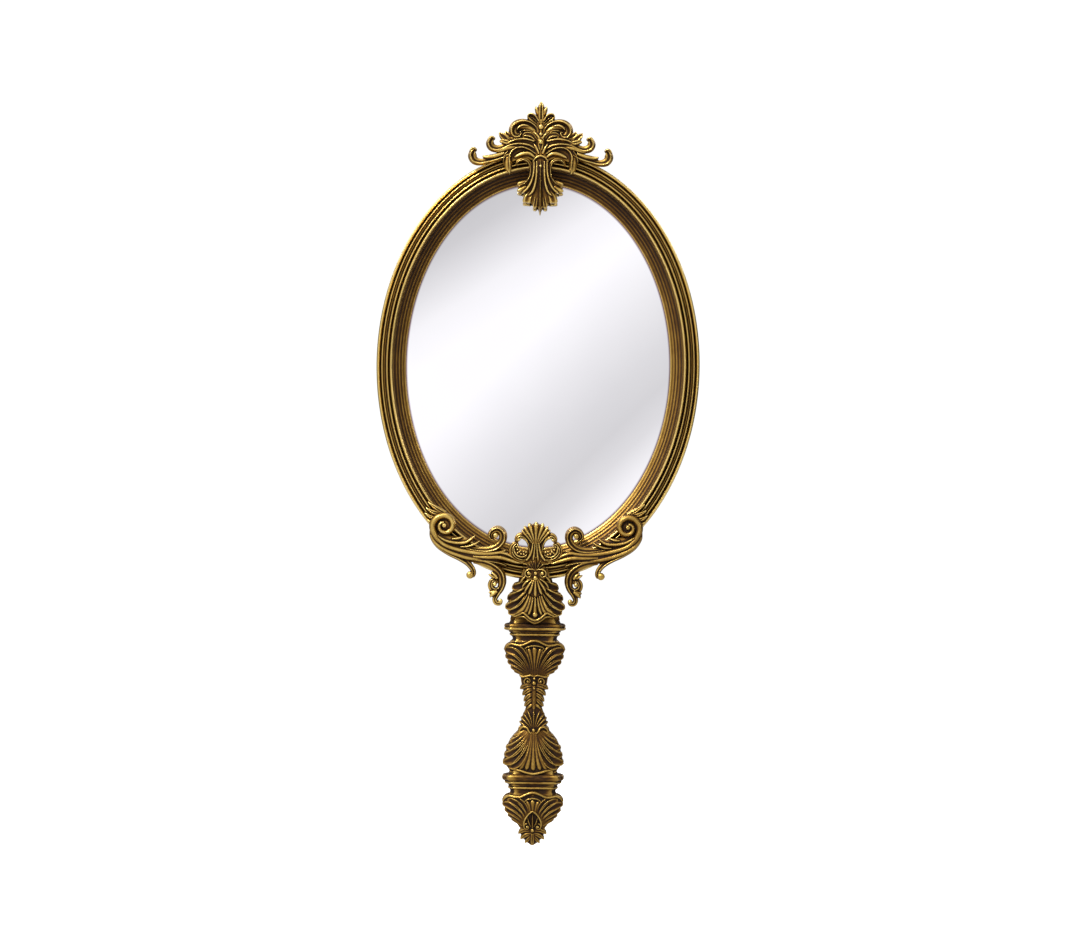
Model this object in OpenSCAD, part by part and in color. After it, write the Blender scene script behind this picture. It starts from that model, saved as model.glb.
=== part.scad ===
// Ornate hand mirror: an oval glass in a cast moulding, applied scroll ornaments, and a handle
// built as a stack of double-sided castings on a threaded tie rod.
// Frame: millimetres, +Z up the handle, the glass faces -Y, origin on the handle's axis at the grip.

/* [Head] */
// Width of the sight opening, across the visible glass
sight_w = 107; // [105:0.5:109]
// Height of the sight opening
sight_h = 147.4; // [145:0.2:150]
// Width of the moulding at the sides
rail_w = 11.8; // [11.4:0.1:12]
// Width of the moulding at the top and bottom
rail_h = 12.7; // [12.4:0.1:13.4]
// Height of the oval's centre above the grip
head_z = 135.5; // [135:0.5:138]
// How far the moulding's ridge stands in front of the handle's middle plane
ridge_y = 8; // [7.6:0.2:8.4]
// How far the moulding's back lies behind the handle's middle plane
rim_back = 6; // [5.8:0.1:6.2]
// Facets round each oval
oval_facets = 96; // [72:12:120]

/* [Glass and back] */
// Thickness of the silvered glass
glass_t = 3; // [2.6:0.2:3.2]
// Thickness of the foam pad behind the glass
pad_t = 2.6; // [2.4:0.1:2.8]
// How far the back cover's flat face stands behind the moulding
cover_proud = 1; // [0.8:0.1:1.2]
// Number of screws that hold the back cover
cover_screws_n = 6; // [6:6:6]
// Diameter of the small screws
screw_d = 1.9; // [1.8:0.05:1.95]

/* [Handle] */
// Width of the collars, the widest part of the handle
handle_w = 25; // [24:0.5:26]
// Depth of the collars
handle_d = 13.6; // [13.2:0.2:13.8]
// Width of the grip at its waist
waist_w = 7.4; // [7.2:0.2:9]
// Depth of the grip at its waist
waist_d = 7; // [6.8:0.2:8]
// Diameter of the steel tie rod
rod_d = 3; // [2.8:0.1:3]

/* [Ornaments] */
// Height of the crest above the moulding
crest_rise = 19.5; // [19:0.5:20.5]
// How far the ornaments stand in front of the moulding's ridge
relief = 3; // [2.6:0.1:3.4]
// Depth of an ornament where it hangs clear of the moulding
free_depth = 5.5; // [5:0.5:6.5]

/* [Hidden] */

brass = [0.62, 0.47, 0.2];
dark_brass = [0.45, 0.33, 0.14];
steel = [0.7, 0.71, 0.73];
silvered = [0.88, 0.9, 0.92];
foam = [0.2, 0.2, 0.22];

gap = 0.05;            // clearance between pieces that only touch
skin = 0.01;           // thickness of the slices that a hull joins
round_fn = 32;

// Head: a place on the moulding is a fraction t from the sight edge, 0, to the outer edge, 1
t_chamber = 0.44;      // wall of the chamber that holds the liner, glass and pad
t_liner_front = 0.4;   // where the liner's cove meets the moulding
t_glass = 0.36;
t_screws = 0.58;       // the oval that every small screw stands on
t_cover = 0.72;
seat_y = -0.3;         // the liner's back, which the glass bears on
flange_y = -3;         // the shoulder that stops the liner
pad_y = seat_y + glass_t;
ledge_y = pad_y + pad_t;
cover_y = rim_back + cover_proud;
front_y = -(ridge_y + relief);

// Handle: the joints between its pieces, down from the moulding
rim_bottom = head_z - sight_h / 2 - rail_h;
rim_top = head_z + sight_h / 2 + rail_h;
z_block = 33;          // neck block on upper collar
z_cup = 24.5;          // collar on cup
z_grip = 10;           // cup on grip sleeve
z_shell = -11;         // grip sleeve on lower shell
z_low_collar = -28;    // shell on collar
z_end = -38;           // collar on end cup
z_plug = -50;          // end cup on finial
z_tip = -58.4;
tang_w = 10;
tang_d = 4;
tang_low = 40;
tang_high = rim_bottom + 6.4;
tang_pin_x = 3.2;
tang_pin_z = rim_bottom + 3;
block_d = 8.4;
pin_d = 2;
pin_x = 3;
pin_z = 44.5;
rod_top = 38.5;
rod_end = -54;
nut_af = 5.5;          // across the nut's flats
nut_h = 2.4;
washer_d = 6;
washer_h = 0.5;
pocket_z = -44;        // roof of the pocket for the nut and washer
pocket_d = 6.6;

// ---------------------------------------------------------------- shapes

// The semi-axes of the oval at fraction t across the moulding
function oval(t) = [sight_w / 2 + rail_w * t, sight_h / 2 + rail_h * t];

// A place on that oval, at an angle from +X
function on_oval(t, angle) = [oval(t)[0] * cos(angle), head_z + oval(t)[1] * sin(angle)];

// The angle at which the oval at t has this x, above or below the centre
function angle_at(t, x, side) = side * acos(x / oval(t)[0]);

function oval_points(t) = [for (i = [0:oval_facets - 1]) on_oval(t, 360 * i / oval_facets)];

// Catmull-Rom curve through rows of numbers
function blend_row(a, b, c, d, s) =
    0.5 * (2 * b + (c - a) * s + (2 * a - 5 * b + 4 * c - d) * s * s
           + (3 * b - a - 3 * c + d) * s * s * s);
function curve(rows, steps) = concat(
    [for (i = [0:len(rows) - 2]) for (k = [0:steps - 1])
        blend_row(rows[max(i - 1, 0)], rows[i], rows[i + 1], rows[min(i + 2, len(rows) - 1)], k / steps)],
    [rows[len(rows) - 1]]
);
function side_of(a, b) = let (d = b - a) [-d[1], d[0]] / norm(d);
function plan(row) = [row[0], row[1]];

// Both edges of a ribbon whose rows are [x, z, half width]
function ribbon_points(rows) = let (n = len(rows), normals = [for (i = [0:n - 1])
        side_of(plan(rows[max(i - 1, 0)]), plan(rows[min(i + 1, n - 1)]))])
    concat([for (i = [0:n - 1]) plan(rows[i]) + normals[i] * rows[i][2]],
           [for (i = [n - 1:-1:0]) plan(rows[i]) - normals[i] * rows[i][2]]);

// Stands a flat XY shape up in the XZ plane, from y = front to y = back
module upright(front, back) {
    translate([0, back, 0]) rotate([90, 0, 0]) linear_extrude(back - front) children();
}

module ribbon(rows, front, back, steps = 3) {
    upright(front, back) polygon(ribbon_points(curve(rows, steps)));
}

module disc(x, z, r, front, back) {
    upright(front, back) translate([x, z]) circle(r, $fn = round_fn);
}

module both_sides() {
    children();
    mirror([1, 0, 0]) children();
}

// A closed section of [t, y] corners, swept round the oval
module oval_sweep(section) {
    n = oval_facets;
    m = len(section);
    points = [for (i = [0:n - 1]) for (p = section)
        let (q = on_oval(p[0], 360 * i / n)) [q[0], p[1], q[1]]];
    function at(i, j) = (i % n) * m + (j % m);
    faces = [for (i = [0:n - 1]) for (j = [0:m - 1]) for (half = [0, 1])
        half == 0 ? [at(i, j), at(i, j + 1), at(i + 1, j + 1)]
                  : [at(i, j), at(i + 1, j + 1), at(i + 1, j)]];
    polyhedron(points, faces, convexity = 8);
}

module oval_plate(t, front, back) {
    upright(front, back) polygon(oval_points(t));
}

// A thin level oval slice of the handle
module oval_slice(w, d, z) {
    translate([0, 0, z]) linear_extrude(skin) scale([1, d / w]) circle(w / 2, $fn = round_fn);
}

module rod_bore(low, high, d = rod_d + 2 * gap) {
    translate([0, 0, low - 1]) cylinder(d = d, h = high - low + 2, $fn = round_fn);
}

// A countersunk screw along Y, its head's face at y = head
module screw(x, z, tip, head, slack = 0) {
    r = screw_d / 2 + slack;
    depth = 1.1;
    translate([x, 0, z]) rotate([90, 0, 0]) {
        translate([0, 0, -head]) cylinder(r1 = 1.5 * r, r2 = r, h = depth, $fn = round_fn);
        translate([0, 0, -head]) cylinder(r = r, h = head - tip, $fn = round_fn);
    }
}

// The space that the moulding fills behind an ornament
module moulding_envelope() {
    difference() {
        oval_plate(1.01, -ridge_y, 20);
        oval_plate(0.2, -30, 21);
    }
}

// ---------------------------------------------------------------- head

ornament_places = [
    on_oval(t_screws, angle_at(t_screws, 12.8, 1)), on_oval(t_screws, angle_at(t_screws, -12.8, 1)),
    on_oval(t_screws, 90),
    on_oval(t_screws, angle_at(t_screws, 36, -1)), on_oval(t_screws, angle_at(t_screws, -36, -1)),
    on_oval(t_screws, angle_at(t_screws, 21, -1)), on_oval(t_screws, angle_at(t_screws, -21, -1)),
    on_oval(t_screws, -90)
];

module each_ornament_screw(slack) {
    for (p = ornament_places) screw(p[0], p[1], -ridge_y - relief / 2, ledge_y, slack);
}

module each_cover_screw(slack) {
    for (i = [0:cover_screws_n - 1])
        let (p = on_oval(t_screws, 360 * i / cover_screws_n))
            screw(p[0], p[1], seat_y, cover_y, slack);
}

// Front of the moulding from the liner out: ridge, bead, ledge bead and outer torus, then the back
rim_section = [
    [t_liner_front, -5.9], [0.46, -7.3], [0.51, -ridge_y], [0.56, -7.5], [0.6, -6.4], [0.655, -7.1],
    [0.7, -6], [0.72, -5.5], [0.765, -5.6], [0.79, -5.3], [0.83, -5.8], [0.87, -5], [0.89, -4.2],
    [0.93, -4.6], [0.97, -4.3], [1, -3.4], [0.97, rim_back - 1], [0.93, rim_back],
    [t_cover, rim_back], [t_cover, ledge_y], [t_chamber, ledge_y], [t_chamber, flange_y],
    [t_liner_front, flange_y]
];

module rim_moulding() {
    color(brass) difference() {
        oval_sweep(rim_section);
        tang_block(gap);
        each_ornament_screw(gap);
        each_cover_screw(gap);
        each_tang_pin(gap);
    }
}

// The tang that joins the moulding to the handle, in a slot in each
module tang_block(slack) {
    translate([-tang_w / 2 - slack, -tang_d / 2 - slack, tang_low - slack])
        cube([tang_w + 2 * slack, tang_d + 2 * slack, tang_high - tang_low + 2 * slack]);
}

module neck_tang() {
    color(steel) difference() {
        tang_block(0);
        each_ornament_screw(gap);
        each_neck_pin(0);
        each_tang_pin(0);
    }
}

module each_tang_pin(slack) {
    both_sides() translate([tang_pin_x, rim_back, tang_pin_z]) rotate([90, 0, 0])
        cylinder(d = pin_d + 2 * slack, h = rim_back + 4, $fn = round_fn);
}

module tang_pins() {
    color(steel) each_tang_pin(0);
}

// The slip that frames the glass: a flat lip, a step and a cove that climbs to the ridge
liner_section = [
    [0, seat_y], [0, -1.3], [0.03, -1.6], [0.21, -2.1], [0.235, -2.7], [0.29, -3.2], [0.34, -4.2],
    [t_liner_front - 0.005, -5.8], [t_liner_front - 0.005, flange_y + gap],
    [t_chamber - 0.005, flange_y + gap], [t_chamber - 0.005, seat_y]
];

module sight_liner() {
    color(dark_brass) oval_sweep(liner_section);
}

module mirror_glass() {
    color(silvered) oval_plate(t_glass, seat_y, pad_y);
}

module foam_pad() {
    color(foam) oval_plate(t_glass, pad_y, ledge_y);
}

module back_cover() {
    color(brass) difference() {
        oval_plate(t_cover - 0.01, ledge_y, cover_y);
        each_cover_screw(gap);
    }
}

module cover_screws() {
    color(steel) each_cover_screw(0);
}

module ornament_screws() {
    color(steel) each_ornament_screw(0);
}

// ---------------------------------------------------------------- crest

// Rows are [x, z, half width], and z counts from the moulding's top
crest_arms = [
    [[1, 9, 2.4], [5, 11, 1.2], [9.4, 10.8, 1.2], [11.4, 8, 1.1], [9.8, 5.4, 0.9]],
    [[2, 3.5, 2.6], [9, 3.2, 1.9], [13.5, 4.6, 2.2], [16, 6, 1]],
    [[8, 2.5, 1.6], [15, 0.8, 1.1], [19.4, 1.2, 1], [21, 3.2, 0.8], [20, 4.6, 0.6]],
    [[9, -0.6, 2], [14, -2.2, 1.6], [21, -4.6, 1.1], [26, -4.8, 1], [27.8, -2.4, 0.9], [26.8, -0.6, 0.6]],
    [[2, 0.4, 2.2], [7, 1, 1.6], [11.8, -0.6, 1.6], [13.4, -3.6, 1.4], [12.8, -6.8, 1.2]]
];
crest_spine = [[0, -2.2, 2.4], [0, 2, 3], [0, 8, 3.4], [0, 12, 4.6], [0, 14.6, 3.6], [0, 16.4, 2],
    [0, 18.4, 1.4], [0, crest_rise, 0.2]];

module crest_palmette() {
    color(brass) difference() {
        translate([0, 0, rim_top]) union() {
            ribbon(crest_spine, front_y + 0.5, front_y + free_depth);
            both_sides() for (arm = crest_arms) ribbon(arm, front_y + 0.8, front_y + free_depth);
        }
        moulding_envelope();
        each_ornament_screw(gap);
    }
}

// The fluted leaf that hangs over the moulding, [x, z] down one side from the moulding's top
drop_half = [[0, -2.6], [2.6, -3.2], [3.9, -5.5], [3.7, -9], [4.8, -12], [7, -14.6], [8.3, -16],
    [6.6, -18.2], [6.4, -20.6], [2.2, -20.9], [1.8, -22.6], [0, -25]];

drop_ribs = [
    [[2.2, -4.4, 0.5], [2.4, -9, 0.5], [3.4, -14, 0.6], [4.6, -18.4, 0.5]],
    [[3.2, -10, 0.4], [4.8, -13.4, 0.5], [6.8, -15.8, 0.4]]
];

module crest_drop() {
    half = curve(drop_half, 3);
    color(brass) difference() {
        translate([0, 0, rim_top]) union() {
            upright(front_y + 0.8, -ridge_y)
                polygon(concat(half, [for (i = [len(half) - 2:-1:1]) [-half[i][0], half[i][1]]]));
            ribbon([[0, -3.4, 1.4], [0, -12, 1.2], [0, -23.6, 0.5]], front_y, front_y + 1.6);
            both_sides() for (row = drop_ribs) ribbon(row, front_y + 0.2, front_y + 1.6);
        }
        each_ornament_screw(gap);
    }
}

// ---------------------------------------------------------------- scrolls and neck

// Strands of the right-hand scroll, rows of [x, z, half width]
scroll_main = [[11.6, 59.6, 1], [20, 58.8, 1.6], [30, 60.6, 2], [37, 63.4, 1.9], [41, 67.6, 1.4],
    [41.6, 71.6, 1.2], [39, 75.2, 1.1], [34.6, 75.5, 1], [31.9, 72.4, 0.9], [32.2, 69, 0.8]];
scroll_inner = [[24, 60.6, 1.4], [18, 61.4, 1.4], [13.9, 63.8, 1.3], [12.9, 67, 1.1], [14.8, 69.2, 1],
    [17.3, 68, 0.9], [18, 65.6, 0.7]];
scroll_lower = [[39.5, 64.8, 1.2], [33, 59.8, 1.4], [26, 57, 1.6], [19, 55, 1.7], [14.6, 51.8, 1.5],
    [13, 47.6, 1.3], [14.2, 43.6, 1.2], [15.8, 41.4, 0.9], [14.4, 39.8, 0.6]];
scroll_curl = [[14.2, 50.4, 1.2], [17.4, 50.2, 1], [18.6, 47.8, 0.9], [17, 46, 0.7]];
scroll_hook = [[28.6, 57.6, 1.3], [25.6, 55.4, 1.1], [24.5, 52.8, 0.9], [25.6, 50.8, 0.7]];
scroll_sprays = [
    [[38, 74.4, 1.6], [41.4, 76.2, 1.2], [43.4, 78.4, 0.3]],
    [[40.4, 72, 1.4], [42.8, 74, 1.1], [44.5, 76, 0.3]],
    [[22, 56.4, 1.6], [20, 53.4, 1.2], [18.2, 51.8, 0.4]],
    [[24, 60.8, 1.6], [29, 64.2, 1.2], [33.4, 65.2, 0.4]]
];
volute = [36.6, 70.6];
volute_r = 5.8;

module screw_pads(places) {
    for (p = places) disc(p[0], p[1], 1.9, front_y + 1, -ridge_y);
}

module scroll_right() {
    pads = [for (i = [3, 5]) ornament_places[i]];
    color(brass) difference() {
        union() {
            for (row = [scroll_main, scroll_inner]) ribbon(row, front_y + 0.6, front_y + free_depth);
            for (row = [scroll_lower, scroll_curl, scroll_hook])
                ribbon(row, front_y + 0.8, front_y + free_depth);
            for (row = scroll_sprays) ribbon(row, front_y + 1.2, front_y + free_depth);
            disc(volute[0], volute[1], volute_r, front_y + 1.8, -ridge_y);
            disc(volute[0], volute[1], 2, front_y, front_y + 2);
            disc(26.3, 50.6, 1.3, front_y + 0.8, front_y + free_depth);
            screw_pads(pads);
        }
        moulding_envelope();
        each_ornament_screw(gap);
    }
}

module scroll_left() {
    mirror([1, 0, 0]) scroll_right();
}

// The pierced fan that climbs from the neck over the bottom of the moulding
fan_lobes = [[0, 1.3, 72.3], [2.7, 1.1, 71.2], [4.8, 0.9, 69.6]];
fan_scroll = [[2.6, 58.4, 1.2], [2.6, 62, 1], [3.6, 65.4, 1], [6.2, 67.4, 0.9], [8.2, 66.2, 0.8]];
fan_leaf = [[3.4, 57.6, 1.4], [7, 58.2, 1.5], [9.4, 60.6, 1.2], [8.8, 64, 0.7]];

module neck_palmette() {
    color(brass) difference() {
        union() {
            for (lobe = fan_lobes, side = [1, -1])
                ribbon([[0, 61, 0.8], [side * lobe[0] * 0.5, (61 + lobe[2]) / 2, lobe[1]],
                    [side * lobe[0], lobe[2], 0.4]], front_y + 0.8, -ridge_y);
            both_sides() {
                ribbon(fan_scroll, front_y + 0.8, -ridge_y);
                ribbon(fan_leaf, front_y + 0.8, -ridge_y);
            }
            ribbon([[0, 50.6, 3.6], [0, 55, 4.6], [0, 58, 3.4], [0, 62, 1.4]], front_y + 1.6, -ridge_y);
        }
        each_ornament_screw(gap);
    }
}

module neck_rosette() {
    color(brass) difference() {
        union() {
            for (angle = [-60:30:60])
                translate([0, 0, 52.5]) rotate([0, angle, 0])
                    ribbon([[0, 0, 0.9], [0, 3, 1.3], [0, 5.4, 0.5]], front_y, front_y + 1.6);
            both_sides() disc(2.7, 52, 1.7, front_y, front_y + 1.6);
        }
        neck_palmette_space();
        each_ornament_screw(gap);
    }
}

// The palmette's leaves stand prouder than its root, so the rosette is cut back round them
module neck_palmette_space() {
    both_sides() ribbon(fan_leaf, front_y + 0.8 - gap, -ridge_y);
    both_sides() ribbon(fan_scroll, front_y + 0.8 - gap, -ridge_y);
}

// One side of the shell's outline, [x, z] from the top down
shell_half = [[0, 50.6], [4.6, 50], [6.5, 48.2], [9, 46.8], [9.4, 44.8], [10.8, 43], [11.2, 41],
    [12.2, 38.6], [11.4, 36.8], [9, 35.1], [5, 36.2], [3, 34.6], [0, 33.2]];
shell_flutes = [
    [[1.6, 47, 0.7], [2, 41, 0.9], [2.4, 36, 0.9]],
    [[3, 47.4, 0.7], [4.6, 42, 0.9], [6, 37.4, 0.9]],
    [[4.4, 48.4, 0.6], [7, 44, 0.8], [9.4, 37.4, 0.9]]
];

module shell_relief(front, base, back) {
    upright(base, back)
        polygon(concat(shell_half, [for (i = [len(shell_half) - 2:-1:1]) [-shell_half[i][0], shell_half[i][1]]]));
    both_sides() for (row = shell_flutes) ribbon(row, front, base + 0.5);
    ribbon([[0, 34.6, 1], [0, 42, 1.6], [0, 49, 1.1]], front, base + 0.5);
}

module neck_shell_front() {
    color(brass) difference() {
        shell_relief(-9.6, -8.4, -block_d / 2);
        moulding_envelope();
        each_neck_pin(gap);
    }
}

module neck_shell_back() {
    color(brass) difference() {
        rotate([0, 0, 180]) shell_relief(-6.8, -6, -block_d / 2);
        oval_plate(1.01, -30, 20);
        each_neck_pin(gap);
    }
}

module each_neck_pin(slack) {
    both_sides() translate([pin_x, 6, pin_z]) rotate([90, 0, 0])
        cylinder(d = pin_d + 2 * slack, h = 13, $fn = round_fn);
}

module neck_pins() {
    color(steel) each_neck_pin(0);
}

// The saddle that the moulding stands on, slotted for the tang and bored for the rod
module neck_block() {
    color(dark_brass) difference() {
        upright(-block_d / 2 + gap, block_d / 2 - gap)
            polygon([[-10, z_block], [10, z_block], [9, 38], [8, 44], [6, 52], [-6, 52], [-8, 44], [-9, 38]]);
        oval_plate(1.002, -30, 20);
        tang_block(gap);
        rod_bore(z_block, rod_top);
        each_neck_pin(gap);
    }
}

// ---------------------------------------------------------------- handle

// A level block with cut corners, from z = low to z = high
module slab(w, d, low, high) {
    cut = min(4, 0.35 * d);
    translate([0, 0, low]) linear_extrude(high - low) polygon([
        [w / 2, d / 2 - cut], [w / 2 - cut, d / 2], [cut - w / 2, d / 2], [-w / 2, d / 2 - cut],
        [-w / 2, cut - d / 2], [cut - w / 2, -d / 2], [w / 2 - cut, -d / 2], [w / 2, cut - d / 2]]);
}

// A flare between two oval slices
module flare(w_low, d_low, low, w_high, d_high, high) {
    hull() {
        oval_slice(w_low, d_low, low);
        oval_slice(w_high, d_high, high - skin);
    }
}

// A leaf on the handle's front and its back
module leaf_pair(rows, face, depth) {
    for (turn = [0, 180]) rotate([0, 0, turn]) ribbon(rows, -face, depth - face);
}

module upper_collar() {
    color(brass) difference() {
        union() {
            slab(handle_w - 6, handle_d - 3.6, z_cup, 26.4);
            slab(handle_w - 3, handle_d - 1.6, 26.4, 27.6);
            slab(handle_w - 1.8, handle_d - 1, 27.6, 28.7);
            slab(handle_w, handle_d, 28.7, 31.9);
            slab(handle_w - 4, handle_d - 2, 31.9, z_block);
        }
        rod_bore(z_cup, z_block);
    }
}

module upper_cup() {
    color(brass) difference() {
        union() {
            flare(17, 11, 18.4, handle_w - 1.4, handle_d - 0.6, 23);
            slab(handle_w - 4, handle_d - 1.6, 23, z_cup);
            flare(14, 9.6, 14.8, 19.4, 12, 18.8);
            flare(11.6, 8.6, z_grip, 15.6, 10.6, 15.2);
            leaf_pair([[0, 23.6, 2], [0, 18, 1.5], [0, 11.4, 0.9]], handle_d / 2, 3.4);
            both_sides() leaf_pair([[8, 23, 1], [6, 18, 0.9], [3.6, 12, 0.8]], handle_d / 2 - 0.6, 3.4);
        }
        rod_bore(z_grip, z_cup);
    }
}

module grip_sleeve() {
    color(brass) difference() {
        union() {
            flare(11, 8.4, 8.6, 11.6, 8.6, z_grip);
            flare(waist_w, waist_d, -1, 10.4, 8, 8.8);
            flare(9.6, 8, -9.4, waist_w, waist_d, -0.6);
            flare(10.6, 8.4, z_shell, 10.2, 8.2, -9.2);
            leaf_pair([[0, 9.6, 1.4], [0, 5, 1], [0, 0, 0.8], [0, -5, 1.2], [0, -10.6, 1.4]], 4.4, 2);
            both_sides() for (turn = [0, 180], z = [7.6, -10 + 0.6])
                rotate([0, 0, turn]) disc(3.4, z, 1.5, -4.4, -2.4);
        }
        rod_bore(z_shell, z_grip);
    }
}

module lower_shell() {
    color(brass) difference() {
        union() {
            flare(15, 10.4, -16, 10.6, 8.6, z_shell);
            flare(19.6, 12, -20.8, 14, 9.8, -15.6);
            flare(handle_w - 1.4, handle_d - 0.6, -25.6, 17.4, 11, -20.4);
            slab(handle_w - 3, handle_d - 1.4, z_low_collar, -25.6);
            leaf_pair([[0, -27, 2.2], [0, -19, 1.4], [0, -12.4, 0.8]], handle_d / 2, 3.4);
            both_sides() leaf_pair([[8.4, -26.4, 1.2], [6, -19, 0.9], [3.4, -13, 0.7]], handle_d / 2 - 0.6, 3.4);
        }
        rod_bore(z_low_collar, z_shell);
    }
}

module lower_collar() {
    color(brass) difference() {
        union() {
            slab(handle_w - 4, handle_d - 2, -29.4, z_low_collar);
            slab(handle_w, handle_d, -32.6, -29.4);
            slab(handle_w - 2, handle_d - 1, -34, -32.6);
            slab(handle_w - 6, handle_d - 3.6, -36.4, -34);
            slab(handle_w - 4, handle_d - 2.4, z_end, -36.4);
        }
        rod_bore(z_end, z_low_collar);
    }
}

module end_cup() {
    color(brass) difference() {
        union() {
            slab(handle_w - 4, handle_d - 1.6, -39.4, z_end);
            flare(17.4, 11, -43.6, handle_w - 1.4, handle_d - 0.6, -39.4);
            flare(13.6, 9.6, -47, 18.6, 11.8, -43.2);
            flare(11.4, 8.8, z_plug, 14.6, 10, -46.6);
            leaf_pair([[0, -43.8, 0.6], [0, -46.6, 2.4], [0, z_plug + 0.2, 3.6]], 5.8, 2.4);
        }
        rod_bore(z_plug, z_end);
        translate([0, 0, z_plug - 1]) cylinder(d = pocket_d, h = pocket_z - z_plug + 1, $fn = round_fn);
    }
}

module finial() {
    color(brass) difference() {
        union() {
            flare(10.4, 8, -53, 9, 7.6, z_plug);
            flare(6, 5, -56, 10.4, 8, -52.9);
            flare(1.2, 1.2, z_tip, 6, 5, -55.9);
        }
        translate([0, 0, rod_end - 0.4]) cylinder(d = rod_d + 2 * gap, h = 20, $fn = round_fn);
    }
}

module tie_rod() {
    color(steel) translate([0, 0, rod_end]) cylinder(d = rod_d, h = rod_top - rod_end, $fn = round_fn);
}

module rod_washer() {
    color(steel) difference() {
        translate([0, 0, pocket_z - washer_h]) cylinder(d = washer_d, h = washer_h, $fn = round_fn);
        rod_bore(pocket_z - washer_h, pocket_z);
    }
}

module rod_nut() {
    low = pocket_z - washer_h - nut_h;
    color(steel) difference() {
        translate([0, 0, low]) cylinder(d = nut_af / cos(30), h = nut_h, $fn = 6);
        rod_bore(low, low + nut_h);
    }
}

rim_moulding();
sight_liner();
mirror_glass();
foam_pad();
back_cover();
cover_screws();
ornament_screws();
crest_palmette();
crest_drop();
scroll_left();
scroll_right();
neck_palmette();
neck_rosette();
neck_shell_front();
neck_shell_back();
neck_block();
neck_tang();
neck_pins();
tang_pins();
upper_collar();
upper_cup();
grip_sleeve();
lower_shell();
lower_collar();
end_cup();
finial();
tie_rod();
rod_washer();
rod_nut();
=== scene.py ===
# Hand mirror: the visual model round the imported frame.
# Metres in the scene, millimetres in the tables.
import math
import re

import bmesh
import bpy
import numpy as np
from mathutils import Matrix, Vector


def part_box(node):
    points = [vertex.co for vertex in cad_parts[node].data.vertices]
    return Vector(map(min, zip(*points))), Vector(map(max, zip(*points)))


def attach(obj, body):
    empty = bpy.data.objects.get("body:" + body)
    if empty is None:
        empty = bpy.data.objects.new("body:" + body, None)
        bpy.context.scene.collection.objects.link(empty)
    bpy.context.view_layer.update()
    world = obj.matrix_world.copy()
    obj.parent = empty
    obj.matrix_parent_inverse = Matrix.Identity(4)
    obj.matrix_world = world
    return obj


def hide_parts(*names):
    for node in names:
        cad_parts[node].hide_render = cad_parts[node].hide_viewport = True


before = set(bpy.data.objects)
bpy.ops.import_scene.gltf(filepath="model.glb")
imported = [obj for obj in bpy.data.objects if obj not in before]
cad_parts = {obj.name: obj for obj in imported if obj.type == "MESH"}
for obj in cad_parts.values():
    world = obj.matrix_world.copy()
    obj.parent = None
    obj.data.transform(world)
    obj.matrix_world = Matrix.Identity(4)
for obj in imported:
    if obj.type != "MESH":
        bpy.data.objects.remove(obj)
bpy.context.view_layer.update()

MM = 0.001

# ---------------------------------------------------------------- camera
TILT = math.radians(0.705)
LENS, SENSOR = 100.0, 36.0
FRAME_WIDTH, FRONT_Y = 0.4349, -0.006     # the picture spans that width at the front of the object
AIM_X, AIM_Z = 0.0013, 0.0924
camera_data = bpy.data.cameras.new("camera")
camera_data.lens = LENS
camera_data.sensor_width = SENSOR
camera = bpy.data.objects.new("camera", camera_data)
bpy.context.scene.collection.objects.link(camera)
right = Vector((math.cos(TILT), 0, math.sin(TILT)))
up = Vector((-math.sin(TILT), 0, math.cos(TILT)))
back = Vector((0, -1, 0))
turn = Matrix((right, up, back)).transposed().to_4x4()
camera.matrix_world = Matrix.Translation((AIM_X, FRONT_Y - FRAME_WIDTH * LENS / SENSOR, AIM_Z)) @ turn
camera_data.clip_start, camera_data.clip_end = 0.05, 60
bpy.context.scene.camera = camera


# ---------------------------------------------------------------- meshes
def new_object(name, points, faces):
    mesh = bpy.data.meshes.new(name)
    mesh.from_pydata(points, [], faces)
    mesh.update()
    ob = bpy.data.objects.new(name, mesh)
    bpy.context.scene.collection.objects.link(ob)
    return ob


def tube(n, m):
    """The faces between n rings of m points."""
    i, j = np.meshgrid(np.arange(n - 1), np.arange(m), indexing="ij")
    j2 = (j + 1) % m
    return np.stack([i * m + j, i * m + j2, (i + 1) * m + j2, (i + 1) * m + j], 2).reshape(-1, 4).tolist()


def to_metres(mesh):
    mesh.vertices.foreach_set("co", (positions(mesh) * MM).ravel())
    mesh.update()
    mesh.shade_smooth()


# ---------------------------------------------------------------- strands
STEP = 0.3          # spacing of the rings along a strand


def curve(rows, step=STEP):
    """A Catmull-Rom curve through rows of numbers, resampled evenly along x and z."""
    p = np.array(rows, float)
    ends = np.vstack([p[:1], p, p[-1:]])
    s = np.linspace(0, 1, 12, endpoint=False)[:, None]
    fine = [0.5 * (2 * b + (c - a) * s + (2 * a - 5 * b + 4 * c - d) * s ** 2
                   + (3 * b - a - 3 * c + d) * s ** 3)
            for a, b, c, d in zip(ends, ends[1:], ends[2:], ends[3:])]
    fine = np.vstack(fine + [p[-1:]])
    run = np.concatenate([[0], np.cumsum(np.hypot(*np.diff(fine[:, :2], axis=0).T))])
    at = np.linspace(0, run[-1], max(4, int(run[-1] / step) + 1))
    return np.stack([np.interp(at, run, fine[:, k]) for k in range(fine.shape[1])], 1)


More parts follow.
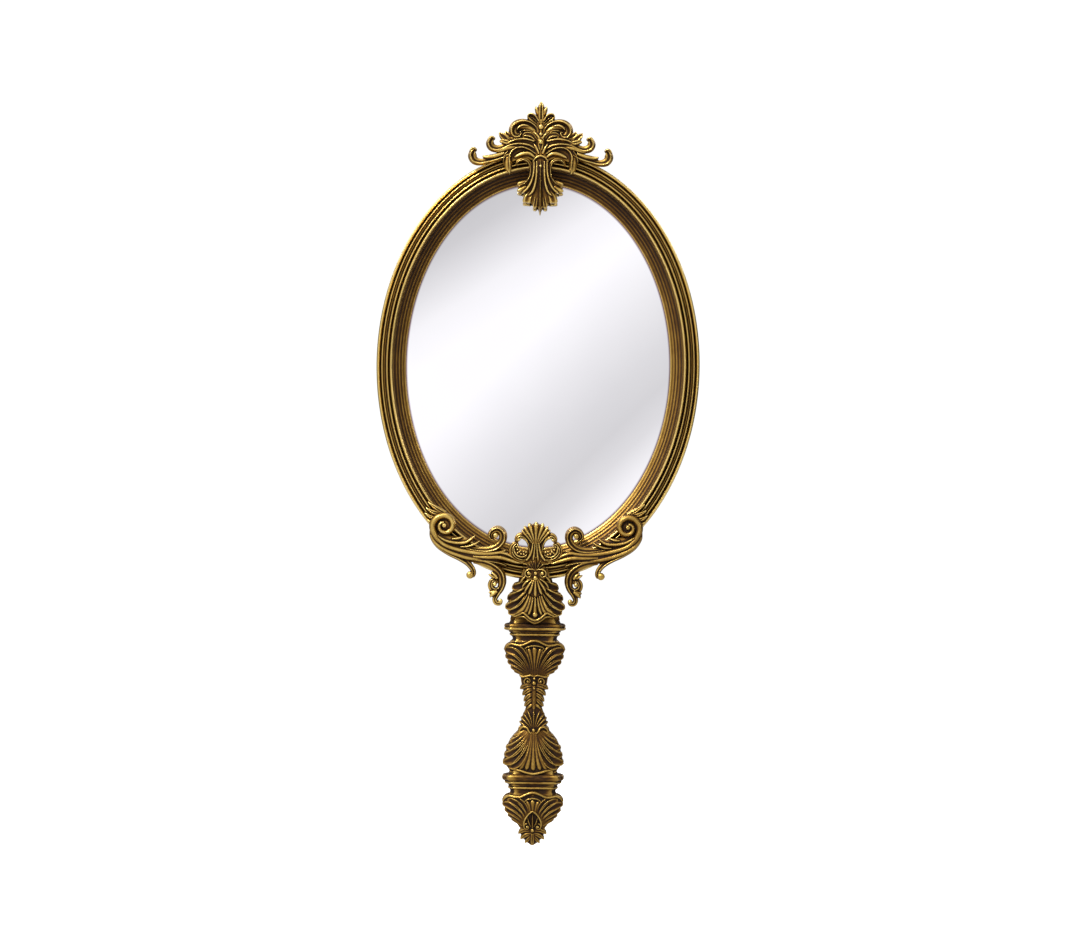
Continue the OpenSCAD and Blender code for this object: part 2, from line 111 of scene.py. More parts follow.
def across(kind):
    """The section of a strand: places from -1 to 1 across it, and the height there from 0 to 1."""
    s = np.sin(np.linspace(-math.pi / 2, math.pi / 2, 21))
    dome = np.sqrt(np.clip(1 - s * s, 0, 1)) ** 0.8
    if kind == "dome":
        return s, dome
    if kind == "ridge":
        return s, np.clip(1 - np.abs(s), 0, 1) ** 0.75
    if kind == "crease":
        return s, dome * (1 - 0.45 * np.exp(-(s / 0.16) ** 2))
    if kind == "hollow":
        return s, dome * (0.55 + 0.45 * np.minimum(1, (np.abs(s) / 0.62) ** 2))
    if kind == "flute":
        channel = 0.30 + 0.70 * np.minimum(1, np.abs(s) / 0.84) ** 1.7
        return s, np.clip((1 - np.abs(s)) / 0.14, 0, 1) ** 0.6 * channel
    if kind == "lip":
        rim = np.exp(-((s - 0.45) / 0.3) ** 2)
        return s, dome * (0.5 + 0.5 * rim - 0.16 * np.exp(-((s + 0.12) / 0.12) ** 2))
    if kind == "lip_left":
        return -s[::-1], across("lip")[1][::-1]
    if kind == "reeds":
        return s, dome * (0.72 + 0.28 * np.abs(np.cos(1.5 * math.pi * s)) ** 0.7)
    raise ValueError(kind)


class Casting:
    """Closed strands, gathered before they are fused into one solid."""

    def __init__(self, base, floor, crown=None, swell=1.0, tuck=0.5):
        self.base, self.floor, self.crown, self.swell, self.tuck = base, floor, crown, swell, tuck
        self.points, self.faces, self.count = [], [], 0

    def add(self, points, faces):
        self.points.append(np.asarray(points, float))
        self.faces += [[i + self.count for i in f] for f in faces]
        self.count += len(points)

    def strand(self, kind, rows, pair=True, root=None):
        """rows are x, z, half width, height. Heights count from the casting's base, or from its crown.
        With root, the strand reaches that far under its ground, and not down to the floor."""
        c = curve(rows)
        c[:, 2] *= self.swell
        tangent = np.gradient(c[:, :2], axis=0)
        tangent /= np.linalg.norm(tangent, axis=1)[:, None] + 1e-9
        normal = np.stack([-tangent[:, 1], tangent[:, 0]], 1)
        s, r = across(kind)
        n, m = len(c), len(s) + 4
        p = np.zeros((n, m, 3))
        t = self.tuck
        spread = np.concatenate([[t * s[0], (0.5 + 0.5 * t) * s[0]], s, [(0.5 + 0.5 * t) * s[-1], t * s[-1]]])
        p[:, :, 0] = c[:, 0, None] + normal[:, 0, None] * c[:, 2, None] * spread
        p[:, :, 2] = c[:, 1, None] + normal[:, 1, None] * c[:, 2, None] * spread
        ground = self.ground(p[:, 2:-2, 0], p[:, 2:-2, 2])
        if kind == "flute":
            open_up = np.clip((c[:, 2, None] - 0.6) / 0.6, 0, 1)
            r = 0.8 * (1 - open_up) * across("dome")[1] + open_up * r
        p[:, 2:-2, 1] = ground + c[:, 3, None] * r
        for edge, k, d, g in ((0, 2, 1, 0), (m - 1, m - 3, m - 2, -1)):
            low = self.floor if root is None else np.maximum(self.floor, ground[:, g] - root)
            p[:, edge, 1] = low
            p[:, d, 1] = 0.7 * low + 0.3 * p[:, k, 1]
        faces = tube(n, m)
        faces += [list(range(m))[::-1], [(n - 1) * m + j for j in range(m)]]
        p = p.reshape(-1, 3)
        self.add(p, faces)
        if pair and np.abs(np.array(rows)[:, 0]).max() > 0.01:
            self.add(p * [-1, 1, 1], [f[::-1] for f in faces])

    def ground(self, x, z):
        if self.crown is None:
            return np.full_like(x, self.base)
        return self.crown(x, z)

    def ball(self, x, z, r, height, pair=True, squash=1.0):
        """A round boss whose top is at that height above the base."""
        lat = np.linspace(-math.pi / 2, math.pi / 2, 9)[1:-1]
        lon = np.linspace(0, 2 * math.pi, 16, endpoint=False)
        top = float(self.ground(np.array([x]), np.array([z]))[0]) + height
        p = [(x, top - 2 * r * squash, z)]
        p += [(x + r * math.cos(a) * math.cos(b), top - r * squash + r * squash * math.sin(a),
               z + r * math.cos(a) * math.sin(b)) for a in lat for b in lon]
        p += [(x, top, z)]
        f = [[0, 1 + (k + 1) % 16, 1 + k] for k in range(16)]
        f += [[1 + q for q in face] for face in tube(7, 16)]
        f += [[len(p) - 1, 97 + k, 97 + (k + 1) % 16] for k in range(16)]
        p = np.array(p)
        self.add(p, f)
        if pair and abs(x) > 0.01:
            self.add(p * [-1, 1, 1], [g[::-1] for g in f])

    def volute(self, x, z, r, turns, start, w, height, spin=1, pair=True):
        """A coil that winds in to an eye. start is the angle of its outer end, in degrees."""
        n = int(10 * turns) + 2
        rows = []
        for k in range(n):
            f = k / (n - 1)
            a = math.radians(start) + spin * f * turns * 2 * math.pi
            q = r * (1 - f) ** 0.85 + 0.25 * w
            rows.append((x + q * math.cos(a), z + q * math.sin(a), w * (1 - 0.45 * f), height + 0.25 * f))
        self.strand("dome", rows, pair)
        self.ball(x, z, 0.55 * w + 0.25, height + 0.4, pair)

    def table(self, lines, root=None):
        """The first line is the body, which goes down to the floor."""
        for k, (kind, *rows) in enumerate(lines):
            self.strand(kind, rows, root=root if k else None)

    def back_too(self):
        """The same relief on the other side of the middle plane."""
        self.points.append(np.vstack(self.points) * [-1, -1, 1])
        self.faces += [[i + self.count for i in f] for f in self.faces]
        self.count *= 2


def graph(mesh):
    edges = np.zeros(len(mesh.edges) * 2, np.int64)
    mesh.edges.foreach_get("vertices", edges)
    a, b = edges.reshape(-1, 2).T
    degree = np.bincount(a, minlength=len(mesh.vertices)) + np.bincount(b, minlength=len(mesh.vertices))
    return a, b, np.maximum(degree, 1)


def relax(p, links, passes, factor=1.0):
    """Moves each point towards the mean of its neighbours."""
    a, b, degree = links
    n = len(p)
    for _ in range(passes):
        mean = np.stack([np.bincount(a, q[b], n) + np.bincount(b, q[a], n) for q in p.T], 1)
        p = p + factor * (mean / degree[:, None] - p)
    return p


def positions(mesh):
    p = np.zeros(len(mesh.vertices) * 3)
    mesh.vertices.foreach_get("co", p)
    return p.reshape(-1, 3)


def normals(mesh):
    n = np.zeros(len(mesh.vertices) * 3)
    mesh.vertex_normals.foreach_get("vector", n)
    return n.reshape(-1, 3)


def mark_wear_and_shade(mesh, passes=(5, 16, 60), sizes=(0.05, 0.11, 0.30), weights=(0.22, 0.44, 0.42)):
    """Stores wear and painted shade on each vertex: 0 in the deepest hollow, 1 on the most exposed ridge. The
    dark in the hollows is partly patina and partly painted shade standing in for occlusion. The mesh is in
    mm.
    """
    links = graph(mesh)
    p, n = positions(mesh), normals(mesh)
    total, done, q = np.zeros(len(p)), 0, p
    for count, size, weight in zip(passes, sizes, weights):
        q = relax(q, links, count - done)
        done = count
        height = ((p - q) * n).sum(1)
        total += weight * np.tanh(height / size)
    wear_and_shade = np.clip(0.5 + 0.5 * total, 0, 1)
    wear_and_shade = relax(wear_and_shade[:, None], links, 1, 0.5)[:, 0]
    layer = mesh.attributes.get("wear_and_shade") or mesh.attributes.new("wear_and_shade", "FLOAT", "POINT")
    layer.data.foreach_set("value", wear_and_shade.astype(np.float32))


def add_painted_light(ob, along, stops):
    """Adds painted highlight and painted shade to the wear attribute, by a value that each vertex has."""
    layer = ob.data.attributes["wear_and_shade"]
    w = np.zeros(len(ob.data.vertices), np.float32)
    layer.data.foreach_get("value", w)
    at, add = np.array(stops).T
    w += np.interp(along, at, add).astype(np.float32)
    layer.data.foreach_set("value", np.clip(w, 0, 1))


def finish_piece(ob, replaced=(), material=None):
    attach(ob, "root")
    if replaced:
        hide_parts(*replaced)
    ob.data.materials.clear()
    ob.data.materials.append(material)
    return ob


def fuse(name, casting, voxel=0.17, smooth=2):
    """Fuses a casting's strands into one closed solid, and returns it as an object in metres."""
    ob = new_object(name, np.vstack(casting.points).tolist(), casting.faces)
    rough = ob.data
    remesh = ob.modifiers.new("fuse", "REMESH")
    remesh.mode = "VOXEL"
    remesh.voxel_size = voxel
    remesh.adaptivity = 0.0
    done = bpy.data.meshes.new_from_object(ob.evaluated_get(bpy.context.evaluated_depsgraph_get()))
    ob.modifiers.clear()
    ob.data = done
    bpy.data.meshes.remove(rough)
    done.name = name
    links = graph(done)
    p = positions(done)
    for _ in range(smooth):
        p = relax(p, links, 1, 0.5)
        p = relax(p, links, 1, -0.42)
    p = relax(p, links, 1, 0.35)
    # heights were towards the viewer, and the front of the object faces -Y
    p = p * [1, -1, 1]
    done.vertices.foreach_set("co", p.ravel())
    done.flip_normals()
    done.update()
    mark_wear_and_shade(done)
    to_metres(done)
    return ob


# ---------------------------------------------------------------- ornament tables
def grid(text, count):
    """The numbers of a table, in rows of that many."""
    values = [float(word) for word in text.replace(",", " ").split()]
    return list(zip(*[iter(values)] * count))


def strands(text):
    """A table of strands: a section's name, then its rows of x, z, half width, height. # starts a comment."""
    words = " ".join(line.split("#")[0] for line in text.splitlines())
    return [(kind, *grid(numbers, 4)) for kind, numbers in re.findall(r"([a-z_]+)([^a-z]+)", words)]


# Only the right half is written; it is mirrored.
CREST = strands("""
# spine and tip
reeds 0 218.6 2.6 1.7, 0 222 2 2, 0 226 1.7 2.1, 0 230 1.9 2.1, 0 234 1.6 2.2
crease 0 232.6 1.5 2.1, 0 235.5 1.5 2.4, 0 238.2 1.25 2.5, 0 240 1 2.4, 0 241.4 0.12 1.6
dome 0.5 235.6 0.9 2, 1.4 237.4 0.9 2.2, 2 238.7 0.55 2.1, 2.1 239.5 0.12 1.5
# second tier
hollow 0.9 232.2 0.8 1.9, 2.4 233.9 1.5 2.3, 3.9 235.1 1.45 2.3, 4.9 235.7 0.8 2, 5.3 235.9 0.15 1.3
ridge 1.2 232.6 0.25 2.2, 2.8 234.2 0.35 2.6, 4.5 235.3 0.15 2.2
dome 1 233.6 0.35 2.3, 2.4 235.7 0.4 2.6, 4 236.4 0.4 2.5, 5.2 235.9 0.3 2.2, 5.3 234.4 0.2 1.9
# great scroll
lip 1.2 229.2 0.7 1.9, 2.8 231.4 1 2.3, 5.4 232.8 1.2 2.6, 8.4 232.6 1.6 2.8, 10.6 231.2 1.7 3,
  11.1 229.2 1.6 3, 10.3 227.8 1.5 3, 9 227.7 1.1 2.9, 8.3 228.5 0.7 2.8, 8.7 229.2 0.3 2.5
dome 5 231.5 0.3 2.4, 7.2 231.7 0.55 2.7, 9 230.9 0.5 2.7, 9.7 229.8 0.2 2.3
dome 1.5 228 0.6 1.6, 3.4 230 0.9 2, 6.2 231.2 1 2.1, 8.6 230.9 0.7 2, 9.6 230.2 0.2 1.6
ridge 2.4 228.2 0.4 1.7, 4.6 229.6 0.7 2.1, 7 229.7 0.5 1.9, 8 229.4 0.15 1.5
hollow 1.8 225.8 0.6 1.8, 3.6 227.8 1 2.2, 6 228.2 0.9 2.1, 7.4 227.6 0.25 1.7
dome 6.6 226.6 0.8 1.6, 9 226.2 0.9 1.7, 11.4 226.4 0.7 1.6, 12.6 226.8 0.3 1.3
# leaf spray at the side
hollow 10.6 225.6 0.9 1.5, 12.5 227.1 1.3 2, 13.7 228.4 0.9 2, 14.1 229.5 0.15 1.4
hollow 11.4 225.2 0.9 1.5, 13.8 226.3 1.4 2.1, 15.7 227.7 1.05 2, 16.8 228.9 0.15 1.4
crease 11.4 224.6 0.8 1.5, 13.8 225 1.1 2, 15.6 225.4 0.8 1.8, 16.6 225.4 0.15 1.3
# middle arm
lip_left 1.6 222.6 1 1.7, 4.4 224.4 1.4 2.2, 8.6 225 1.4 2.3, 12.4 224.3 1.15 2.1, 15.4 222.9 1.1 2,
  17.6 222.3 1.3 2.1, 19.6 222.9 1.45 2.4, 20.4 224.3 1.45 2.7, 20.1 225.5 1.35 2.9,
  19.4 226.2 0.95 2.7, 18.9 226.2 0.4 2.3
dome 18.5 226.3 0.35 2.4, 19.4 226.9 0.45 2.8, 20.5 226.6 0.45 2.8, 21.1 225.6 0.35 2.4
dome 2.6 225.4 0.35 2, 6.4 226.3 0.45 2.2, 10.4 225.9 0.4 2.1, 14 224.2 0.3 1.8
dome 9 222.9 0.6 1.6, 13 222.6 0.9 1.9, 16.4 221.4 0.6 1.8, 18.2 221.2 0.2 1.4
# lower arm and its spur
lip_left 11.6 222 0.9 1.6, 14 219.9 1 1.9, 17 218.6 1 1.9, 20.6 217.6 1 1.9, 24 216.9 1.2 2,
  26.3 217.4 1.45 2.3, 27.4 218.9 1.55 2.6, 27.3 220.4 1.45 2.9, 26.7 221.4 1 2.7, 26.2 221.6 0.4 2.3
dome 25.8 221.7 0.35 2.4, 26.7 222.3 0.45 2.8, 27.8 222 0.45 2.8, 28.4 221 0.35 2.4
dome 14.6 220.6 0.6 1.8, 18 219.5 0.8 2, 21.4 218.9 0.7 1.9, 22.9 219.1 0.45 1.7, 23.1 219.6 0.1 1.3
# arch leaf with its hanging tip
lip_left 1.8 220.6 0.7 1.8, 4 222.2 0.9 2.4, 7 223.3 0.95 2.7, 10 223 0.95 2.7, 12.2 221.4 1.15 2.6,
  13.2 219.2 1.4 2.7, 13.2 217 1.5 2.7, 12.9 215 1.3 2.6, 12.6 213.5 0.8 2.1, 12.4 212.3 0.12 1.2
ridge 11.8 221.6 0.4 2.2, 12.6 219.4 0.6 2.4, 12.2 217.4 0.5 2.1, 11.6 216.4 0.12 1.5
ridge 13.2 221.6 0.4 2, 14.4 219.6 0.6 2.1, 14.9 217.8 0.4 1.8, 15 216.8 0.1 1.3
dome 2.4 219 0.5 1.8, 4.4 220.4 0.75 2.2, 7 220.4 0.8 2.2, 9.6 219.4 0.6 1.8, 10.6 218.8 0.2 1.4
dome 0.7 220.4 0.55 2.2, 1.7 222.6 0.6 2.5, 2.6 224 0.3 2.2, 2.9 224.5 0.1 1.8
dome 0.5 226.4 0.5 2.3, 1.8 228.2 0.55 2.6, 3.2 229 0.2 2.1
dome 0.4 222 0.35 2.3, 0.9 224.4 0.4 2.4, 1 226.4 0.2 2.2
""")
CREST_GROUND = strands("""
dome 1.5 228.2 2.4 0.9, 5.5 229.4 2.6 0.9, 9 229.2 1.9 0.8, 10.2 228.8 0.8 0.6
dome 1.5 219.8 2.2 0.8, 6 221.2 2.2 0.8, 10.5 220.2 2.2 0.8, 13.5 217.6 1.5 0.8, 13.4 215.2 0.8 0.6
dome 13.2 219 0.9 1.6, 13.1 216.6 1.25 1.9, 12.9 214.7 1.25 1.9, 12.6 213.4 0.8 1.6, 12.4 212.4 0.15 1.1
dome 2 224 1.8 0.9, 8 224.6 1.9 0.9, 13 223.2 1.5 0.8, 16.5 221.6 1 0.6
dome 0 233.4 1.4 0.9, 2.6 234.2 1.5 0.9, 4.6 235.2 0.8 0.8
""")
DROP = strands("""
dome 0 219.2 2.6 1.8, 0 215 3.3 1.9, 0 210.6 4 1.5, 0 207 5.6 1.3, 0 204.4 5.4 1.1, 0 201.8 4.6 0.9,
  0 200.4 1.8 0.9, 0 199 0.6 0.8
ridge 0 217.6 0.7 2.4, 0 213 0.75 2.6, 0 208 0.8 2.7, 0 203.6 1 2.6, 0 200.2 0.8 2.2, 0 196.9 0.1 1.2
dome 1.5 217.4 0.4 2.2, 1.55 213 0.55 2.5, 1.9 209 0.6 2.5, 2.9 205.6 0.65 2.4, 4.2 204 0.4 2.1,
  5 203.7 0.1 1.6
dome 2.6 217.4 0.4 2.1, 2.7 213.4 0.5 2.3, 3.4 209.8 0.55 2.4, 4.9 206.8 0.6 2.4, 6.6 205.1 0.45 2.1,
  7.4 204.7 0.1 1.6
lip 9.9 215.9 0.3 1.8, 9.1 217.4 0.6 2.1, 7.2 218.2 0.75 2.3, 5.2 217.6 0.75 2.4, 4 215.8 0.7 2.4,
  3.7 213.2 0.65 2.3, 4.2 210.8 0.65 2.3, 5.8 208.6 0.65 2.3, 7.8 207.6 0.45 2, 8.8 207.6 0.12 1.5
dome 5 209.4 0.7 1.2, 7.2 208.6 0.9 1.5, 8.8 208.4 0.6 1.4, 9.3 208.4 0.15 1
dome 5.6 207.2 0.7 1.2, 7.6 206 0.9 1.5, 8.9 205.6 0.55 1.4, 9.3 205.4 0.12 1
hollow 3.6 205 1 1.3, 4.8 203 1.5 1.6, 5.3 201.5 1.6 1.5, 5.4 200.8 1.4 1.1
hollow 1.5 203.4 0.6 1.3, 1.9 200.8 0.8 1.5, 2.1 199.2 0.75 1.3, 2.1 198.7 0.4 0.9
dome 3.1 217.2 0.25 2.3, 1.8 218.8 0.5 2.7, 0 219.4 0.55 2.8, -1.8 218.8 0.5 2.7
""")
SCROLL = strands("""
# body of the arm
dome 41.6 70 1 1.2, 40.2 65.8 1.9 1.6, 36 62.4 2.3 1.8, 30 60 2.4 1.8, 24 58.4 2.3 1.8, 18 58 1.9 1.7,
  12.6 58.6 1 1.3
# great volute, from the neck out and round
dome 12.2 60.9 0.4 1.6, 15 60 0.8 2.1, 20 59.5 0.95 2.4, 26 60 1 2.5, 31.6 61.1 1 2.6, 36.6 62.9 1 2.7,
  40 65.8 1 2.7
dome 36 62.6 0.9 2.2, 39.3 64.9 1.15 2.6, 41.3 68.6 1.25 2.9, 41.4 71.4 1.3 2.9, 39.7 73.8 1.3 2.9,
  37 74.6 1.25 2.9, 34.5 73.5 1.2 2.9, 33.5 71.2 1.15 2.9, 34.2 69 1.1 3, 36 67.9 1 3, 37.8 68.3 0.95 3,
  38.8 69.5 0.9 3, 38.8 70.9 0.85 3, 38 71.7 0.8 3, 37 71.8 0.75 3
dome 33.8 70.6 1.3 1.4, 36.9 70.7 2.9 1.8, 40.2 70.6 1.3 1.4
dome 39 67 0.9 1.2, 35.4 65.2 1.5 1.6, 31.4 64.4 1.6 1.6, 27.4 64.4 1 1.2, 25.6 65 0.3 0.9
# reeds that follow the arm
dome 39.4 66.6 0.4 2.4, 36.6 64.8 0.7 2.7, 32.6 63.8 0.75 2.7, 28.6 63.9 0.7 2.6, 26.2 65.2 0.5 2.3,
  24.4 66.8 0.15 1.7
dome 33.6 65.4 0.5 2.3, 31.4 65.5 0.6 2.4, 29.4 66.2 0.15 1.8
dome 30.4 62.2 0.3 2.3, 27.4 62.4 0.5 2.5, 24.6 63.4 0.5 2.4, 22.6 64.6 0.15 1.8
dome 42.2 66.8 0.4 1.7, 40 63.4 0.8 2.1, 36.2 60.8 0.9 2.3, 31.4 58.9 0.95 2.3, 26.4 57.6 0.9 2.2,
  22 57.2 0.4 1.9
# hook below
lip 42.4 69.6 0.3 1.3, 42 66 0.6 1.6, 39.4 62.4 0.8 1.9, 35 59.6 0.95 2, 30.6 57.6 1.05 2.2,
  27.4 55.7 1.1 2.3, 25.5 53.5 1 2.3, 24.8 51.6 0.85 2.2, 25.4 50.2 0.7 2.1
# curl above
lip 28 61.9 0.6 2, 23.6 61.2 1 2.4, 19.2 61.1 1.25 2.6, 15.8 62.3 1.4 2.8, 13.6 64.8 1.45 2.9,
  13.5 67.6 1.4 3, 15.3 69.2 1.3 3, 17.4 68.6 1.15 3, 18.4 66.9 1 2.9, 17.7 65.5 0.8 2.8,
  16.6 65.3 0.6 2.8
# strands towards the neck
dome 25 58.3 0.5 2.1, 19.6 58.1 0.85 2.4, 14.6 58.1 0.9 2.3, 10.8 57.2 0.75 2, 7.6 56.2 0.5 1.7,
  6 55.9 0.2 1.4
ridge 24 56.9 0.6 2, 19 56.5 0.9 2.2, 14.6 55.8 0.8 2, 11.8 54.8 0.3 1.6
dome 17 59.7 0.5 2, 13.6 59.9 0.6 2.1, 10.8 59.1 0.55 1.9, 9 57.9 0.2 1.6
# pendant
lip_left 25 56.4 0.8 1.8, 20.8 55.9 1.25 2.2, 17.2 54.5 1.45 2.5, 14.3 52 1.55 2.7, 13.3 48.8 1.5 2.8,
  13.9 45.8 1.3 2.6, 15.3 43.4 1.05 2.4, 16.2 41.4 0.95 2.3, 15.7 39.9 0.95 2.3, 14.3 39.6 0.8 2.2,
  13.5 40.5 0.5 2.1
lip 14.4 45.8 0.8 2.1, 15.7 44.9 1.05 2.4, 17.3 45.4 1.15 2.6, 18 47.1 1.05 2.7, 17.3 48.8 0.9 2.7,
  15.9 48.8 0.65 2.6, 15.3 47.6 0.5 2.5
dome 15.3 49.6 0.7 2, 16.4 51 0.8 2.2, 17.8 52.2 0.2 1.5
dome 16.4 49.9 0.6 2, 18 50.8 0.5 1.9, 18.9 51.3 0.12 1.3
dome 15.4 44.6 0.8 1.9, 17 43.5 1 2.2, 17.9 42.5 0.5 1.8, 18.1 41.9 0.12 1.3
dome 16.4 44.5 0.6 1.9, 18 44.1 0.5 1.8, 18.7 43.7 0.12 1.3
# leaf on the rail
crease 36.6 75.6 0.9 1.6, 39.6 77.2 1 1.9, 42.2 79 0.5 1.5, 43.6 80.2 0.1 0.8
crease 38.6 75.4 0.9 1.7, 41.2 75.9 0.95 1.9, 43.6 77.2 0.4 1.4, 44.4 78 0.1 0.8
crease 40.2 73.6 0.8 1.7, 42.2 74 0.8 1.7, 44.2 75.2 0.3 1.2, 44.9 75.8 0.1 0.7
dome 41.4 71.8 0.6 1.5, 43 72.4 0.5 1.4, 44.2 73.2 0.12 0.8
""")
SCROLL_EYES = grid("""
36.9 70.7 1 3, 16.2 66.9 1.1 3, 16.3 47.3 0.85 2.9, 26.3 50.9 1.55 2.5, 14 40.6 1 2.3
""", 4)
FAN = strands("""
dome 0 72 0.2 0.9, 0 69.6 3.6 1.1, 0 67.2 2.8 1.1, 0 64.4 1.3 1.2, 0 61 1.9 1.3, 0 57.6 3.4 1.2,
  0 55.4 4.2 1
dome 0 63.8 0.35 1.8, 0 66.6 0.65 2.3, 0 69.6 0.95 2.6, 0 71.4 0.85 2.5, 0 72.3 0.3 1.8
dome 0.5 64 0.3 1.7, 1.1 66.6 0.55 2.2, 2 69.4 0.8 2.5, 2.6 71.1 0.65 2.3, 2.8 71.8 0.2 1.7
dome 0.8 63.8 0.25 1.6, 2.1 66.4 0.5 2.1, 3.6 68.7 0.75 2.4, 4.5 70 0.55 2.2, 4.9 70.5 0.15 1.6
dome 1.1 63.4 0.2 1.5, 2.9 65.8 0.4 1.9, 4.6 67.9 0.6 2.1, 5.5 68.9 0.35 1.9, 5.8 69.2 0.1 1.4
dome 0.35 64.2 0.3 1.8, 0.5 61.4 0.4 2, 0.8 58.6 0.5 1.9, 1 57 0.4 1.6
dome 1.2 64 0.35 1.8, 1.6 61.2 0.5 2, 2.6 58.6 0.55 1.9, 3.8 57 0.4 1.6
lip_left 2.2 58.6 0.5 1.6, 2.3 61.4 0.6 2, 2.8 64 0.7 2.3, 4.2 66.3 0.8 2.5, 6.2 67.1 0.8 2.6,
  7.7 66.2 0.65 2.5, 7.9 64.9 0.5 2.4, 7 64.4 0.35 2.3
dome 3.4 64.2 0.2 2, 4.7 65.6 0.3 2.2, 6.2 66 0.25 2.2, 6.7 65.4 0.15 2.1
lip_left 7.4 64 0.35 1.9, 8.8 63.4 0.7 2.2, 9.8 61.6 0.85 2.3, 9.6 59.6 0.85 2.3, 8.2 57.9 0.8 2.2,
  6 57 0.75 2.1, 3.8 57 0.5 1.9
dome 8.8 62.6 0.3 2, 8.6 60.6 0.4 2.2, 7.4 59 0.4 2.2, 5.4 58.4 0.35 2.1, 3.6 59.2 0.25 2
dome 3.2 61.8 0.4 1.1, 3.6 60.2 0.7 1.3, 5.2 59.4 0.9 1.3, 6.9 60.2 0.8 1.3, 7.8 62 0.5 1.2,
  7.6 63.4 0.3 1.1
""")
FAN_BUMPS = grid("""
3.4 61.6 0.42 1.7, 3.9 60.4 0.46 1.9, 4.9 60.6 0.4 1.7, 4.8 59.5 0.45 1.9, 5.9 59.6 0.42 1.8,
6.6 60.5 0.45 1.9, 7.3 60 0.4 1.7, 7.4 61.4 0.42 1.8, 7.9 62.5 0.4 1.8, 6.2 61.2 0.35 1.5,
3 62.8 0.35 1.6, 7.2 63.2 0.36 1.8
""", 4)
ROSETTE = strands("""
dome 0 57.4 0.6 1.5, 0 55.6 3 1.8, 0 53.4 5 1.9, 0 51.2 5.6 1.8, 0 49.4 3.8 1.4
ridge 0 53.2 0.35 2.3, 0 55.6 0.7 2.9, 0 57.2 0.45 2.7, 0 58.2 0.1 2
ridge 0.5 53.4 0.3 2.2, 1.2 55.4 0.6 2.8, 1.9 56.7 0.4 2.6, 2.3 57.5 0.1 1.9
ridge 0.9 53.4 0.3 2.2, 2.1 54.8 0.55 2.7, 3.3 55.6 0.4 2.5, 4.1 56 0.1 1.9
ridge 1.3 53.2 0.3 2.2, 3 54 0.5 2.6, 4.4 54.3 0.35 2.4, 5.3 54.3 0.1 1.8
dome 0.2 53.2 0.3 2.2, 1.5 53.5 0.45 2.7, 3 53.4 0.5 2.8, 4.1 52.4 0.5 2.8, 4 51 0.45 2.7,
  2.9 50.4 0.4 2.7, 2 50.9 0.35 2.7, 1.8 51.8 0.3 2.7
dome 4.2 50.6 0.4 1.8, 5.2 49.5 0.5 1.9, 5.9 48.4 0.3 1.6, 6 47.9 0.1 1.2
""")
SHELL = strands("""
# body under the flutes: half widths follow the outline
dome 0 50.6 3.6 0.7, 0 48.6 5.4 0.8, 0 46.6 7.6 0.8, 0 44.4 8.4 0.8, 0 42 10 0.8, 0 39.6 11 0.8,
  0 38 11.2 0.8, 0 36.4 10.2 0.7, 0 35 8.6 0.6, 0 33.6 5 0.5, 0 32.6 1.6 0.4
# great flutes, in tiers
flute 1.8 50 0.67 1.2, 3.4 48.3 1.12 1.6, 6 46.7 1.62 1.6, 8.4 46.1 1.51 1.2, 9.4 46.2 0.56 0.7
ridge 2.2 48.6 0.35 1.4, 4.2 46.2 0.6 1.9, 7 44.4 0.7 1.8, 9.4 44.2 0.3 1.2
flute 2.4 48 0.67 1.3, 4.3 45.3 1.23 1.8, 7.2 43 1.74 1.8, 9.9 41.9 1.74 1.4, 11.3 41.9 0.67 0.8
ridge 2.8 46.4 0.35 1.5, 4.6 43.8 0.6 2, 7.6 41 0.75 1.9, 10.6 40 0.35 1.3
flute 2.8 46 0.67 1.3, 4.6 42.9 1.23 1.9, 7.3 40 1.74 1.9, 10.4 38.4 1.74 1.4, 12.1 38.3 0.67 0.8
flute 2.8 44.2 0.56 1.3, 4.2 41 1.12 1.9, 6.3 38.1 1.51 1.9, 9.1 36.2 1.57 1.5, 10.9 35.9 0.67 0.9
dome 2.4 43.2 0.45 1.4, 3.4 40.2 0.8 2, 4.9 37.5 1.05 2, 6.8 35.9 1 1.6, 7.8 35.3 0.4 1.1
dome 1.7 42.6 0.4 1.4, 2.4 39.8 0.7 2, 3.4 37.2 0.95 2, 4.4 35.9 0.8 1.7, 4.9 35.4 0.35 1.2
dome 0.95 42.4 0.35 1.4, 1.3 39.8 0.6 2, 1.9 37.2 0.8 2, 2.5 35.6 0.7 1.7, 2.8 35 0.35 1.2
dome 0 42.4 0.4 1.5, 0 39.6 0.65 2, 0 36.8 0.95 2.2, 0 34.9 1 2.2, 0 34 0.5 1.5
# small shell over them
dome 0 49.6 2.2 1.5, 0 46.8 3.2 1.9, 0 44.8 3.7 2, 0 43.4 2.8 1.9, 0 42.4 0.8 1.7
dome 0 49 0.5 2.2, 0 46.4 0.8 2.8, 0 44.2 1 3, 0 43 0.75 2.7, 0 42.4 0.15 2.1
dome 0.7 49.1 0.4 2.1, 1.4 46.6 0.75 2.7, 2.1 44.6 0.9 2.8, 2.6 43.6 0.5 2.4, 2.7 43.2 0.1 1.9
dome 1.2 49.3 0.4 2, 2.6 47.2 0.7 2.5, 3.7 45.5 0.75 2.5, 4.2 44.5 0.3 2.1, 4.3 44.2 0.1 1.7
dome 1.8 49.6 0.4 1.8, 3.8 48.3 0.65 2.2, 5 46.7 0.5 2.1, 5.3 45.4 0.2 1.7
# wavy lip at the foot
dome 9.9 35.2 0.3 0.9, 8.2 34.5 0.5 1.3, 6.4 35.2 0.55 1.7, 4.8 35.9 0.6 2, 3.4 34.9 0.6 2,
  1.9 33.6 0.6 1.9, 0 32.9 0.65 1.9, -1.9 33.6 0.6 1.9
dome 7.6 34 0.3 0.8, 5.6 34.4 0.45 1.1, 4 34.1 0.5 1.4, 2.4 32.8 0.5 1.3, 0 31.9 0.55 1.3,
  -2.4 32.8 0.5 1.3
""")
